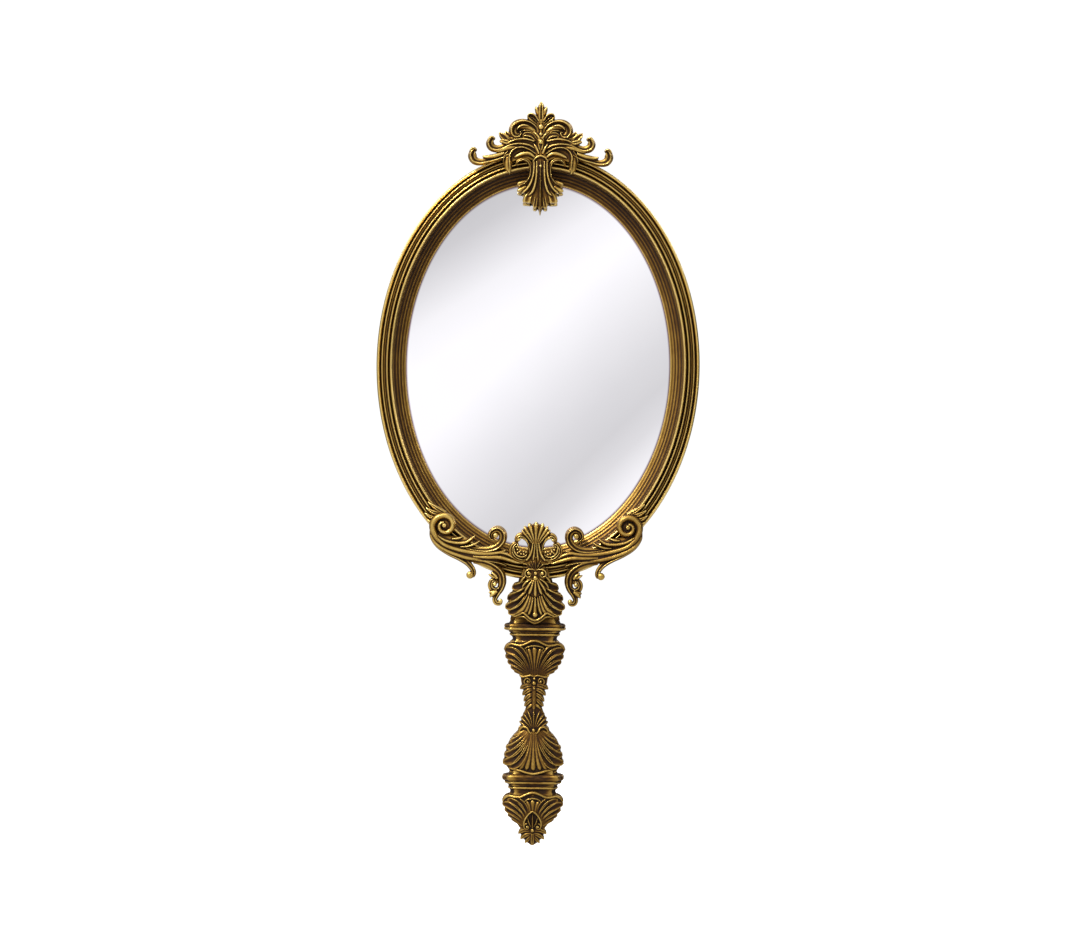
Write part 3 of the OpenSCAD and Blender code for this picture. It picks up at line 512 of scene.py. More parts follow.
CUP = strands("""
dome 0 24.4 8.8 0.2, 0 22.6 11.3 0.3, 0 20.6 11.9 0.3, 0 18.4 11.3 0.3, 0 16.2 10.4 0.3, 0 14 9.1 0.3,
  0 12 7.7 0.3, 0 10.6 5.9 0.3, 0 9.6 5 0.2
dome 0 10.6 0.35 0.5, 0 14 0.45 0.8, 0 18 0.75 1, 0 21 1 1, 0 22.1 0.4 0.6
dome 0.6 10.7 0.3 0.5, 0.8 14 0.42 0.8, 1.5 17.8 0.65 1, 2.2 20.6 0.8 1, 2.4 21.5 0.3 0.5
ridge 1 10.8 0.25 0.5, 1.5 14 0.3 1, 2.3 17.4 0.35 1.3, 3.3 20.8 0.35 1.3, 3.5 21.6 0.15 0.8
dome 4.2 21 0.15 0.8, 3.3 21.9 0.3 1.2, 1.8 22.4 0.32 1.3, 0 22.6 0.34 1.3, -1.8 22.4 0.32 1.3
# flutes that start upright and turn outwards to the scallops
flute 1.3 10.8 0.45 0.5, 2 13.6 0.78 1, 3.6 17.6 1.23 1.3, 5.6 20.6 1.49 1.25, 8 22 1.17 1,
  9.4 22.3 0.52 0.6
flute 1.8 10.9 0.45 0.5, 2.8 13.4 0.85 1, 4.9 16.8 1.37 1.3, 7.6 19.6 1.76 1.2, 10.4 20.6 1.56 0.8,
  12.1 20.5 0.65 0.4
flute 2.3 10.9 0.45 0.5, 3.6 13.1 0.85 1, 5.9 15.6 1.37 1.2, 8.6 17.6 1.62 1, 10.7 18 1.3 0.7,
  11.8 17.9 0.52 0.3
flute 2.8 10.8 0.45 0.5, 4.3 12.6 0.85 0.9, 6.6 14.4 1.3 1.1, 8.9 15.6 1.37 0.9, 10.4 15.7 0.91 0.6,
  10.9 15.6 0.33 0.3
flute 3.4 10.7 0.45 0.5, 5 12 0.78 0.8, 7 13.1 1.1 0.9, 8.7 13.6 1.04 0.7, 9.6 13.5 0.39 0.4
dome 4 10.5 0.3 0.4, 5.6 11.3 0.6 0.7, 7.2 11.9 0.65 0.6, 8.2 11.9 0.25 0.4
dome 12.2 20.6 0.3 0.5, 11.4 22.2 0.5 0.8, 9.6 23.2 0.55 1, 7.4 22.8 0.55 1.1, 5.4 22.7 0.55 1.2,
  3.6 23.4 0.55 1.25, 1.8 24.3 0.6 1.3, 0 24.6 0.6 1.3, -1.8 24.3 0.6 1.3
""")
WAIST = strands("""
dome 0 10.8 5.6 0.4, 0 8 5.3 0.5, 0 6 4.8 0.5, 0 4 4.2 0.5, 0 2 3.6 0.5, 0 0 3.5 0.5, 0 -2.2 3.2 0.5,
  0 -4.2 3.8 0.5, 0 -6.4 4.7 0.5, 0 -8.6 5.2 0.5, 0 -10.4 5.1 0.5, 0 -12.4 5.6 0.3
reeds 0 6.2 1.1 0.9, 0 2 1 1.2, 0 -1.6 0.9 1.2, 0 -3.6 0.4 0.8
crease 1 6.6 0.8 0.8, 2.8 6.4 1.2 1.2, 4.6 5.6 1 0.9, 5.7 4.8 0.2 0.3
crease 1 4.9 0.7 0.9, 2.5 4.3 1.1 1.3, 3.9 3.2 0.9 0.9, 4.7 2.3 0.2 0.3
crease 0.9 2.9 0.7 0.9, 2.2 2.1 1 1.3, 3.4 0.8 0.8 0.9, 4.1 -0.2 0.2 0.3
crease 0.8 0.9 0.6 0.9, 1.9 0.1 0.9 1.2, 3.1 -1.2 0.75 0.9, 3.9 -2.1 0.2 0.3
dome 0.7 -1.2 0.6 0.9, 1.7 -2 0.7 1.1, 2.8 -3.2 0.3 0.5
ridge 0 -10.6 0.45 0.7, 0 -7 0.85 1.4, 0 -4.4 0.65 1.3, 0 -3 0.15 0.6
ridge 0.5 -10.4 0.45 0.7, 1.1 -7.4 0.8 1.35, 2 -4.9 0.65 1.2, 2.6 -3.8 0.15 0.5
ridge 0.9 -10.4 0.45 0.7, 2 -8 0.8 1.3, 3.4 -6 0.7 1.1, 4.3 -5 0.15 0.4
ridge 1.3 -10.5 0.45 0.7, 2.8 -8.8 0.75 1.2, 4.3 -7.3 0.65 1, 5.3 -6.7 0.15 0.3
ridge 1.8 -10.8 0.4 0.7, 3.6 -9.8 0.7 1.1, 5 -8.8 0.55 0.9, 5.8 -8.4 0.15 0.3
dome 5.9 10.6 0.4 0.4, 4.8 9.9 0.5 0.9, 3.2 10.1 0.5 1, 1.6 10.5 0.45 1, 0 10.2 0.4 1, -1.6 10.5 0.45 1
dome 5.9 -12.6 0.4 0.4, 5.6 -11.2 0.6 0.9, 4.2 -10.2 0.65 1.3, 2.7 -10.7 0.6 1.4, 1.9 -12 0.5 1.4,
  1 -13 0.3 1
""")
LOW_SHELL = strands("""
dome 0 -11 5.4 0.3, 0 -12.8 7.1 0.3, 0 -15 9 0.3, 0 -18 10.5 0.3, 0 -21.6 11.4 0.3, 0 -24.6 11.9 0.3,
  0 -26.6 10.4 0.3, 0 -28.8 9 0.2
dome 0 -12.4 0.35 0.6, 0 -17 0.55 0.9, 0 -22.6 0.9 1.1, 0 -26.4 1.05 1.1, 0 -27.6 0.5 0.6
dome 0.5 -12.4 0.3 0.6, 0.85 -17 0.5 0.9, 1.6 -22.6 0.8 1.1, 2.5 -26.2 0.95 1.1, 2.8 -27.4 0.4 0.6
dome 0.9 -12.4 0.3 0.6, 1.5 -17 0.5 0.9, 2.9 -22.4 0.85 1.1, 4.7 -26 1 1, 5.4 -27.2 0.4 0.6
flute 1.2 -12.4 0.45 0.6, 2 -16.6 0.85 1, 3.9 -21.4 1.37 1.3, 6.4 -24.9 1.69 1.2, 8.6 -26.4 1.17 0.9,
  9.8 -26.8 0.39 0.5
flute 1.6 -12.4 0.45 0.6, 2.6 -16 0.91 1, 4.9 -20 1.43 1.3, 7.9 -23.2 1.82 1.2, 10.7 -24.5 1.56 0.7,
  12.3 -24.5 0.65 0.3
flute 2 -12.3 0.45 0.6, 3.3 -15.3 0.91 1, 5.7 -18.5 1.43 1.2, 8.4 -20.8 1.69 1.1, 10.6 -21.5 1.3 0.7,
  11.8 -21.4 0.52 0.3
flute 2.5 -12.2 0.45 0.6, 4 -14.5 0.91 0.9, 6.2 -16.8 1.37 1.1, 8.6 -18.4 1.43 0.9, 10.3 -18.6 1.04 0.6,
  11.1 -18.4 0.39 0.3
flute 3 -12 0.45 0.5, 4.7 -13.6 0.85 0.8, 6.6 -15.1 1.17 0.9, 8.4 -16 1.1 0.7, 9.6 -16 0.45 0.4
dome 3.6 -11.8 0.35 0.4, 5.2 -12.6 0.6 0.7, 6.8 -13.6 0.7 0.6, 8 -13.9 0.3 0.4
dome 9.8 -27 0.3 0.6, 7.4 -27.5 0.5 0.9, 5 -27.9 0.55 1, 2.6 -28.6 0.55 1.1, 0 -29 0.55 1.1,
  -2.6 -28.6 0.55 1.1
""")
END_CUP = strands("""
dome 0 -37.6 9 0.2, 0 -39 11.1 0.3, 0 -40.8 11.9 0.3, 0 -43 11.2 0.3, 0 -45.2 9.9 0.3, 0 -47.4 8.3 0.3,
  0 -49.2 6.5 0.3, 0 -52 4.6 0.3
dome 0 -45.6 0.4 0.6, 0 -42.4 0.85 1, 0 -40.4 1 1, 0 -39.6 0.3 0.6
dome 0.7 -45.6 0.3 0.6, 1.4 -42.5 0.75 1, 2.1 -40.8 0.75 0.9, 2.4 -40.1 0.2 0.5
dome 3.6 -41 0.15 0.7, 2.9 -39.8 0.3 1, 1.6 -39.1 0.32 1.2, 0 -38.9 0.34 1.2, -1.6 -39.1 0.32 1.2
flute 1.6 -46.6 0.45 0.6, 2.4 -44 0.98 1, 3.8 -41.6 1.3 1.2, 5.6 -39.9 1.17 0.9, 6.6 -39.3 0.39 0.5
flute 2.2 -47.6 0.45 0.6, 3.6 -44.6 1.04 1, 5.8 -41.9 1.49 1.2, 8.4 -40.2 1.3 1, 10.2 -39.6 0.65 0.6
flute 2.8 -48.6 0.45 0.6, 4.6 -45.8 1.1 1, 7 -43.4 1.56 1.1, 9.8 -41.9 1.49 0.8, 11.6 -41.4 1.04 0.5,
  12.3 -41.2 0.39 0.3
flute 3.3 -49.2 0.45 0.6, 5.4 -46.9 1.04 0.9, 7.8 -45.1 1.37 0.9, 10 -44.1 1.17 0.6, 11.4 -43.8 0.45 0.3
flute 3.8 -49.6 0.45 0.5, 5.8 -47.9 0.91 0.8, 7.8 -46.7 1.1 0.7, 9.3 -46.2 0.78 0.5, 10.1 -46.1 0.26 0.3
dome 4.2 -50.2 0.35 0.4, 6 -48.9 0.65 0.6, 7.6 -48.1 0.6 0.5, 8.6 -47.9 0.2 0.3
dome 12.2 -40.4 0.3 0.5, 11.4 -39 0.5 0.8, 9.6 -38.1 0.55 1, 7.4 -38.4 0.55 1.1, 5.2 -38.4 0.55 1.2,
  3.4 -37.6 0.55 1.25, 1.7 -36.9 0.6 1.3, 0 -36.6 0.6 1.3, -1.7 -36.9 0.6 1.3
""")
FINIAL = strands("""
dome 0 -44.4 0.6 0.6, 0 -46 2.2 0.7, 0 -48.6 3.2 0.7, 0 -51 4.2 0.6, 0 -53.2 4.8 0.5, 0 -55.2 3.9 0.4,
  0 -57 2.2 0.3, 0 -58.2 0.6 0.2
dome 3.6 -50.2 0.35 1.1, 3.2 -47.9 0.5 1.5, 1.9 -45.7 0.5 1.6, 0.6 -44.5 0.45 1.6, 0 -44.1 0.3 1.5
ridge 0 -51 0.6 1.3, 0 -48 0.75 1.9, 0 -45.8 0.35 1.7, 0 -45 0.1 1.2
ridge 0.6 -50.6 0.4 1.2, 1.5 -48.6 0.6 1.7, 1.9 -47.2 0.3 1.5, 2 -46.6 0.1 1.1
crease 0.6 -52.4 0.5 0.8, 2.8 -52 0.9 1.1, 4.8 -52.8 0.8 0.8, 5.7 -53.8 0.12 0.2
crease 0.5 -53.4 0.5 0.9, 2.5 -54 0.95 1.1, 4.1 -55.1 0.7 0.8, 4.8 -56 0.12 0.2
crease 0.3 -54.2 0.5 0.9, 1.5 -55.6 0.85 1, 2.6 -56.9 0.5 0.7, 3 -57.6 0.12 0.2
crease 0 -53.4 0.6 1.1, 0 -55.8 0.95 1.2, 0 -57.5 0.6 0.8, 0 -58.4 0.12 0.1
""")


# ---------------------------------------------------------------- crowns
# how far the handle's body stands from its middle plane
def crown(levels, widths, edge):
    """Depth of the body by height, falling to a share of it at the outline."""
    z_at, d_at = np.array(sorted(levels)).T
    y_at, w_at = np.array(sorted(widths)).T

    def at(x, z):
        side = np.clip(1 - (x / np.interp(z, y_at, w_at)) ** 2, 0, 1)
        return np.interp(z, z_at, d_at) * (edge + (1 - edge) * np.sqrt(side))
    return at


NECK_WIDTHS = grid("""
31 9.5, 34 11, 36 12.2, 38 13, 41 12.4, 44 11.4, 47 10.4, 50 8.5, 52 7.5
""", 2)
NECK_CROWN = crown([(31, 6.6), (34, 7.2), (42, 7.6), (50, 7.9)], NECK_WIDTHS, 0.5)
NECK_BACK = crown([(31, 5.3), (42, 5.2), (50, 5.0)], NECK_WIDTHS, 0.5)
HANDLE_DEPTHS = grid("""
24.6 5.5, 20 5.4, 16 4.9, 12 4.1, 10 3.8, 7 3.3, 0 2.7, -4 2.8, -9 3.5, -12 4, -16 4.7, -21 5.3,
-25 5.6, -28 5.5, -37 5.5, -40 5.6, -44 5, -48 4, -52 3.2, -55 2.6, -58.4 1.6
""", 2)
HANDLE_WIDTHS = grid("""
25 10.5, 22 12.4, 18 12, 14 10.4, 12 8.8, 10 6.8, 6 5.7, 3 5.2, 0 4.6, -3 4.4, -6 5.6, -10 6.2, -12 7.2,
-15 9.6, -18 11.2, -22 12.2, -25 12.8, -28 10.8, -37 11.4, -40 12.8, -43 12.2, -46 10.6, -49 8, -52 6,
-54 6.4, -56 5.2, -58.6 2.6
""", 2)
HANDLE_CROWN = crown(HANDLE_DEPTHS, HANDLE_WIDTHS, 0.3)


# ---------------------------------------------------------------- materials
class Tree:
    """A node tree, with short ways to add to it."""

    def __init__(self, tree):
        self.nodes, self.links = tree.nodes, tree.links

    def put(self, node, values):
        """Sets or links a node's sockets, by name or number."""
        for key, value in values.items():
            if isinstance(value, bpy.types.NodeSocket):
                self.links.new(value, node.inputs[key])
            else:
                node.inputs[key].default_value = value

    def add(self, kind, values, output=0, **settings):
        node = self.nodes.new("ShaderNode" + kind)
        for name, value in settings.items():
            setattr(node, name, value)
        self.put(node, values)
        return node.outputs[output]

    def where(self, space="Object"):
        return self.add("TexCoord", {}, space)

    def noise(self, where, scale, detail=4.0, rough=0.55):
        return self.add("TexNoise", {"Scale": scale, "Detail": detail, "Roughness": rough, "Vector": where},
                        "Fac")

    def maths(self, kind, *values, clamp=False):
        return self.add("Math", dict(enumerate(values)), operation=kind, use_clamp=clamp)

    def spread(self, value, low, high, to_low=0.0, to_high=1.0):
        return self.add("MapRange", {"From Min": low, "From Max": high, "To Min": to_low, "To Max": to_high,
                                     "Value": value}, interpolation_type="SMOOTHSTEP")

    def mix(self, share, a, b, blend="MIX"):
        return self.add("Mix", {0: share, 6: a, 7: b}, 2, data_type="RGBA", blend_type=blend)

    def bump(self, height, strength, distance):
        return self.add("Bump", {"Strength": strength, "Distance": distance, "Height": height}, "Normal")

    def ramp(self, value, stops):
        node = self.nodes.new("ShaderNodeValToRGB")
        marks = node.color_ramp.elements
        while len(marks) > len(stops):
            marks.remove(marks[-1])
        while len(marks) < len(stops):
            marks.new(0.5)
        for mark, (at, colour) in zip(marks, stops):
            mark.position = at
            mark.color = (*colour, 1)
        self.links.new(value, node.inputs["Fac"])
        return node.outputs["Color"]


def new_material(name):
    m = bpy.data.materials.new(name)
    m.use_nodes = True
    return m, Tree(m.node_tree), m.node_tree.nodes["Principled BSDF"]


PATINA_AND_SHADE = [(0.0, (0.016, 0.007, 0.003)), (0.22, (0.042, 0.018, 0.006)), (0.40, (0.135, 0.066, 0.015)),
          (0.56, (0.285, 0.160, 0.034)), (0.74, (0.490, 0.315, 0.076)), (0.92, (0.780, 0.560, 0.175))]


def antique_gold(name, shift=0.0, level=None):
    """Worn gold: bright where it is rubbed, brown in the hollows from patina and painted shade, and lighter
    or darker where the attribute holds painted highlights and shade, with grime, cast grain and small dents.
    A piece without that attribute gets an even wear round that level."""
    m, t, shader = new_material(name)
    where = t.where()
    if level is None:
        # the attribute holds patina and painted shade in the hollows, and painted highlights and shade from
        # the tables
        w = t.add("Attribute", {}, "Fac", attribute_name="wear_and_shade")
    else:
        w = t.spread(t.noise(where, 55, 3), 0.2, 0.8, level - 0.12, level + 0.12)
    w = t.maths("MULTIPLY_ADD", t.noise(where, 90, 5, 0.6), 0.26, w)
    w = t.maths("MULTIPLY_ADD", t.noise(where, 520, 4, 0.65), 0.16, w)
    w = t.maths("MULTIPLY_ADD", t.noise(where, 22, 2), 0.12, w)
    w = t.maths("ADD", w, shift - 0.27)
    rough = t.spread(w, 0.15, 0.85, 0.60, 0.27)
    grain = t.maths("MULTIPLY_ADD", t.noise(where, 240, 2, 0.5), 1.6, t.noise(where, 900, 4, 0.6))
    t.put(shader, {
        "Base Color": t.ramp(w, PATINA_AND_SHADE), "Metallic": t.spread(w, 0.08, 0.42, 0.55, 1.0),
        "Specular IOR Level": 0.25, "Normal": t.bump(grain, 0.35, 0.00012),
        "Roughness": t.maths("MULTIPLY_ADD", t.noise(where, 1500, 3, 0.6), 0.14, rough)})
    return m


def steel(name, tint=(0.42, 0.40, 0.37)):
    m, t, shader = new_material(name)
    where = t.where()
    dull = tuple(0.6 * c for c in tint)
    t.put(shader, {
        "Metallic": 1.0, "Base Color": t.ramp(t.noise(where, 400, 5, 0.6), [(0.3, dull), (0.7, tint)]),
        "Roughness": t.spread(t.noise(where, 1600, 3), 0.3, 0.7, 0.24, 0.42)})
    return m


def silvered_glass(name, half_width=0.0535, half_height=0.0737, centre=0.1355):
    """Silver with a faint haze, which thins to a brown line under the sight edge."""
    m, t, shader = new_material(name)
    where = t.where()
    haze = t.noise(where, 14, 3)
    silver = t.ramp(haze, [(0.35, (0.925, 0.925, 0.935)), (0.65, (0.955, 0.955, 0.960))])
    x, z = (t.add("SeparateXYZ", {0: where}, axis) for axis in "XZ")
    ex = t.maths("MULTIPLY", x, 1 / half_width)
    ez = t.maths("MULTIPLY_ADD", z, 1 / half_height, -centre / half_height)
    ring = t.maths("SQRT", t.maths("MULTIPLY_ADD", ex, ex, t.maths("MULTIPLY", ez, ez)))
    worn = t.spread(t.maths("MULTIPLY_ADD", haze, 0.008, ring), 0.988, 1.004)
    t.put(shader, {
        "Metallic": 1.0, "Coat Weight": 0.3, "Coat Roughness": 0.01,
        "Base Color": t.mix(worn, silver, (0.20, 0.10, 0.11, 1)),
        "Roughness": t.spread(t.noise(where, 60, 4), 0.35, 0.75, 0.004, 0.02)})
    return m


def foam(name):
    m, t, shader = new_material(name)
    cells = t.add("TexVoronoi", {"Scale": 1400, "Vector": t.where()}, "Distance")
    t.put(shader, {
        "Base Color": t.ramp(cells, [(0.0, (0.012, 0.012, 0.013)), (0.6, (0.05, 0.05, 0.053))]),
        "Roughness": t.spread(cells, 0.0, 0.7, 0.8, 0.95), "Normal": t.bump(cells, 0.6, 0.0002)})
    return m


GOLD = antique_gold("antique_gold", -0.04)
GOLD_HANDLE = antique_gold("antique_gold_handle", -0.17)
GOLD_COLLAR = antique_gold("antique_gold_collar", -0.29)
GOLD_CUP = antique_gold("antique_gold_cup", -0.22)
GOLD_NECK = antique_gold("antique_gold_neck", -0.14)
GOLD_RAIL = antique_gold("antique_gold_rail", 0.11)
GOLD_LINER = antique_gold("antique_gold_liner", -0.12)
GOLD_BACK = antique_gold("antique_gold_back", -0.02)
GOLD_PLAIN = antique_gold("antique_gold_plain", level=0.30)
STEEL = steel("screw_steel")
MIRROR = silvered_glass("silvered_glass")
FOAM = foam("black_foam")


# ---------------------------------------------------------------- castings
def cast(name, slot, replaced, casting, material=GOLD, voxel=0.17, **options):
    ob = fuse(name, casting, voxel, **options)
    return finish_piece(ob, replaced, material)


crest = Casting(8.0, 2.5, swell=1.15)
crest.tuck = 0.3
crest.table(CREST_GROUND)
crest.tuck = 0.6
crest.table(CREST, root=3.6)
crest.ball(0, 231.1, 1.05, 3.0, squash=0.8)
crest.ball(0, 225.1, 1.0, 3.0, squash=0.8)
crest.ball(0, 228.2, 0.7, 2.7, squash=0.8)
cast("crest_relief", "gilt_ornament", ["crest_palmette"], crest, voxel=0.15)

drop = Casting(8.0, 5.2, swell=1.12)
drop.table(DROP)
drop.ball(0, 215.4, 0.55, 2.75)
cast("crest_drop_relief", "gilt_ornament", ["crest_drop"], drop, voxel=0.14, smooth=1)

for side, node in ((1, "scroll_right"), (-1, "scroll_left")):
    scroll = Casting(8.0, 3.5, swell=1.12)
    for kind, *rows in SCROLL:
        if side < 0:
            kind = {"lip": "lip_left", "lip_left": "lip"}.get(kind, kind)
        root = None if rows == list(SCROLL[0][1:]) else 3.4
        scroll.strand(kind, [(side * r[0], *r[1:]) for r in rows], pair=False, root=root)
    for x, z, r, h in SCROLL_EYES:
        scroll.ball(side * x, z, r, h, pair=False, squash=0.8)
    # the right arm takes the darker neck gold: painted shade for the side away from the key light
    cast(node + "_relief", "gilt_ornament", [node], scroll, GOLD if side < 0 else GOLD_NECK, voxel=0.15)

fan = Casting(8.0, 5.2, swell=1.22)
fan.table(FAN)
for x, z, r, h in FAN_BUMPS:
    fan.ball(x, z, r, h)
fan.ball(6.8, 65.3, 0.6, 2.6)
cast("neck_fan_relief", "gilt_ornament", ["neck_palmette"], fan, voxel=0.14, smooth=1)

rosette = Casting(8.0, 4.5)
rosette.table(ROSETTE)
rosette.ball(2.7, 51.9, 0.8, 3.0)
rosette.ball(0, 51.9, 0.75, 2.8)
rosette.ball(0, 49.9, 1.15, 2.7)
cast("neck_rosette_relief", "gilt_ornament", ["neck_rosette"], rosette, voxel=0.12, smooth=1)

shell = Casting(0, 0.5, NECK_CROWN, tuck=1.0)
shell.table(SHELL, root=1.8)
shell.ball(0, 35.3, 0.95, 2.5, squash=0.7)
cast("neck_shell_relief", "gilt_ornament", ["neck_shell_front"], shell, GOLD_NECK)

shell_back = Casting(0, 0.5, NECK_BACK, tuck=1.0)
for kind, *rows in SHELL:
    root = None if rows[0] == SHELL[0][1] else 1.2
    shell_back.strand(kind, [(x, z, w, 0.5 * h) for x, z, w, h in rows], root=root)
for p in shell_back.points:
    p[:, :2] *= -1
cast("neck_shell_back_relief", "gilt_ornament", ["neck_shell_back"], shell_back, GOLD_NECK)

WAIST_BOSSES = [(0, 7.4, 0.85, 1.5), (0, 9.3, 0.55, 1.4), (0, 5.3, 0.5, 1.4), (0, -11.6, 0.75, 1.4)]
for name, node, lines, bosses, gold in (
        ("upper_cup_relief", "upper_cup", CUP, [], GOLD_CUP),
        ("grip_relief", "grip_sleeve", WAIST, WAIST_BOSSES, GOLD_CUP),
        ("lower_shell_relief", "lower_shell", LOW_SHELL, [], GOLD_HANDLE),
        ("end_cup_relief", "end_cup", END_CUP, [], GOLD_HANDLE),
        ("finial_relief", "finial", FINIAL, [(0, -52.0, 0.8, 1.5)], GOLD_HANDLE)):
    body = Casting(0, -0.5, HANDLE_CROWN, tuck=1.0)
    body.table(lines, root=1.1)
    for x, z, r, h in bosses:
        body.ball(x, z, r, h)
    if name == "grip_relief":
        body.volute(2.6, 8.1, 1.5, 1.25, -60, 0.42, 1.0, 1)
    if name == "finial_relief":
        body.volute(2.2, -50.6, 1.3, 1.2, 90, 0.38, 1.2, -1)
    body.back_too()
    cast(name, "gilt_handle", [node], body, gold, voxel=0.15)

# ---------------------------------------------------------------- swept mouldings
RIM_LOW, RIM_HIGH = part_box("rim_moulding")
CENTRE_Z = 500 * (RIM_LOW[2] + RIM_HIGH[2])
SIGHT = (53.5, 73.7)
RAIL_SCALE = 12.0        # mm that a whole t counts for along a section
RAIL_AROUND, LINER_AROUND = 620, 520
RAIL = (1000 * RIM_HIGH[0] - SIGHT[0] - 0.01, 500 * (RIM_HIGH[2] - RIM_LOW[2]) - SIGHT[1])


def half_axes(t):
    """The oval's half width and half height at a share t of the rail."""
    return SIGHT[0] + RAIL[0] * t, SIGHT[1] + RAIL[1] * t


def lattice(seed, nu, nv, u, v):
    """Smooth value noise from -1 to 1 that repeats round u. u and v count lattice cells."""
    g = np.random.RandomState(seed).uniform(-1, 1, (nu, nv + 2))
    iu, iv = np.floor(u).astype(int), np.floor(v).astype(int)
    fu, fv = u - iu, v - iv
    fu, fv = fu * fu * (3 - 2 * fu), fv * fv * (3 - 2 * fv)
    iv = np.clip(iv, 0, nv)
    a, b = g[iu % nu, iv], g[(iu + 1) % nu, iv]
    c, d = g[iu % nu, iv + 1], g[(iu + 1) % nu, iv + 1]
    return (a * (1 - fu) + b * fu) * (1 - fv) + (c * (1 - fu) + d * fu) * fv


def section(corners, spacing=0.16):
    """The corners [t, height] joined by a smooth curve, resampled evenly."""
    c = curve([(t * RAIL_SCALE, h) for t, h in corners], spacing)
    return np.stack([c[:, 0] / RAIL_SCALE, c[:, 1]], 1)


def oval_sweep(name, profile, around, rough=0.012, seed=3):
    """Sweeps a closed section of [t, height] round the oval. Vertices in mm, the front towards -Y."""
    t, h = profile[:, 0], profile[:, 1]
    a = np.linspace(0, 2 * math.pi, around, endpoint=False)
    A, T = np.meshgrid(a, t, indexing="ij")
    H = np.tile(h, (around, 1)).astype(float)
    front = np.clip((H + 1) / 3, 0, 1)
    H += front * rough * lattice(seed, 90, 12, A / (2 * math.pi) * 90, T * 12)
    H += front * 0.6 * rough * lattice(seed + 1, 420, 60, A / (2 * math.pi) * 420, T * 60)
    across_x, across_z = half_axes(T)
    p = np.stack([across_x * np.cos(A), -H, CENTRE_Z + across_z * np.sin(A)], 2)
    n, m = around, len(t)
    i, j = np.meshgrid(np.arange(n), np.arange(m), indexing="ij")
    i2, j2 = (i + 1) % n, (j + 1) % m
    faces = np.stack([i * m + j, i2 * m + j, i2 * m + j2, i * m + j2], 2).reshape(-1, 4)
    return new_object(name, p.reshape(-1, 3).tolist(), faces.tolist())


def settle(ob, **wear_and_shade):
    """Outward normals, the wear and painted shade attribute, then millimetres to metres."""
    mesh = ob.data
    b = bmesh.new()
    b.from_mesh(mesh)
    bmesh.ops.recalc_face_normals(b, faces=b.faces)
    b.to_mesh(mesh)
    b.free()
    mesh.update()
    mark_wear_and_shade(mesh, **wear_and_shade)
    to_metres(mesh)
    return ob


RAIL_FRONT = grid("""
0.395 3, 0.398 4.2, 0.405 5, 0.418 5.9, 0.436 7, 0.453 7.65, 0.475 8, 0.5 7.8, 0.52 7.1, 0.538 6,
0.552 5.3, 0.564 5.2, 0.578 5.8, 0.596 6.75, 0.618 7.15, 0.64 6.8, 0.657 5.9, 0.67 4.95, 0.684 4.5,
0.702 4.6, 0.722 4.85, 0.738 4.7, 0.75 4.75, 0.768 5.4, 0.79 5.75, 0.812 5.35, 0.828 4.4, 0.84 3.6,
0.852 3.3, 0.868 3.7, 0.892 4.5, 0.925 4.85, 0.955 4.65, 0.982 3.9, 0.996 2.9, 0.996 2, 0.989 1.5,
0.984 1.2, 0.99 0.6, 0.992 -0.8, 0.99 -3.2, 0.982 -4.8, 0.968 -5.6, 0.945 -6, 0.9 -6, 0.8 -6, 0.745 -6,
0.725 -5.9, 0.72 -5.6, 0.72 -5.3
""", 2)
RAIL_INSIDE = [(0.44, -5.3), (0.44, 3.0)]
RAIL_SECTION = np.vstack([section(RAIL_FRONT), RAIL_INSIDE])
RAIL_T = np.where(RAIL_SECTION[:, 1] > 1.2, RAIL_SECTION[:, 0], 1.0)
rail = oval_sweep("rim_moulding_cast", RAIL_SECTION, RAIL_AROUND)
settle(rail, passes=(5, 18, 70), sizes=(0.06, 0.16, 0.5))
# painted highlights on the rail's ridge and beads, and painted shade in its grooves and at its edges, by
# place across the section
RAIL_PAINTED_LIGHT = grid("""
0.4 -0.15, 0.44 -0.05, 0.465 0.14, 0.49 0.14, 0.52 0, 0.555 -0.12, 0.59 0.03, 0.615 0.14, 0.64 0,
0.68 -0.1, 0.76 0, 0.79 0.1, 0.815 -0.02, 0.85 -0.12, 0.89 0, 0.93 0.08, 0.97 0, 0.995 0, 1 -0.14
""", 2)
add_painted_light(rail, np.tile(RAIL_T, RAIL_AROUND), RAIL_PAINTED_LIGHT)
finish_piece(rail, ["rim_moulding"], GOLD_RAIL)

LINER_FRONT = grid("""
0 0.3, 0 0.7, 0.008 0.95, 0.03 1.15, 0.06 1.4, 0.085 1.7, 0.105 1.95, 0.13 2.1, 0.155 2.2, 0.172 2.4,
0.188 2.7, 0.208 2.95, 0.232 3.05, 0.254 3.15, 0.27 3.35, 0.286 3.65, 0.306 3.9, 0.33 4.05, 0.352 4.2,
0.375 4.5, 0.392 4.8, 0.402 4.9, 0.41 3.2, 0.41 0.4
""", 2)
LINER_SECTION = section(LINER_FRONT)
liner = oval_sweep("sight_liner_cast", LINER_SECTION, LINER_AROUND, seed=11)
settle(liner, passes=(4, 14, 60), sizes=(0.05, 0.12, 0.5))
# painted shade: the liner darker towards the rail's ridge, where it lies in its shadow
add_painted_light(liner, np.tile(LINER_SECTION[:, 0], LINER_AROUND),
          [(0.0, 0.05), (0.05, 0.0), (0.2, -0.06), (0.39, -0.14)])
# painted light: the lower part of the liner lighter than the upper, as lit from above
add_painted_light(liner, positions(liner.data)[:, 2] / MM,
          [(62, 0.15), (110, 0.13), (136, 0.13), (170, 0.04), (200, -0.02)])
finish_piece(liner, ["sight_liner"], GOLD_LINER)


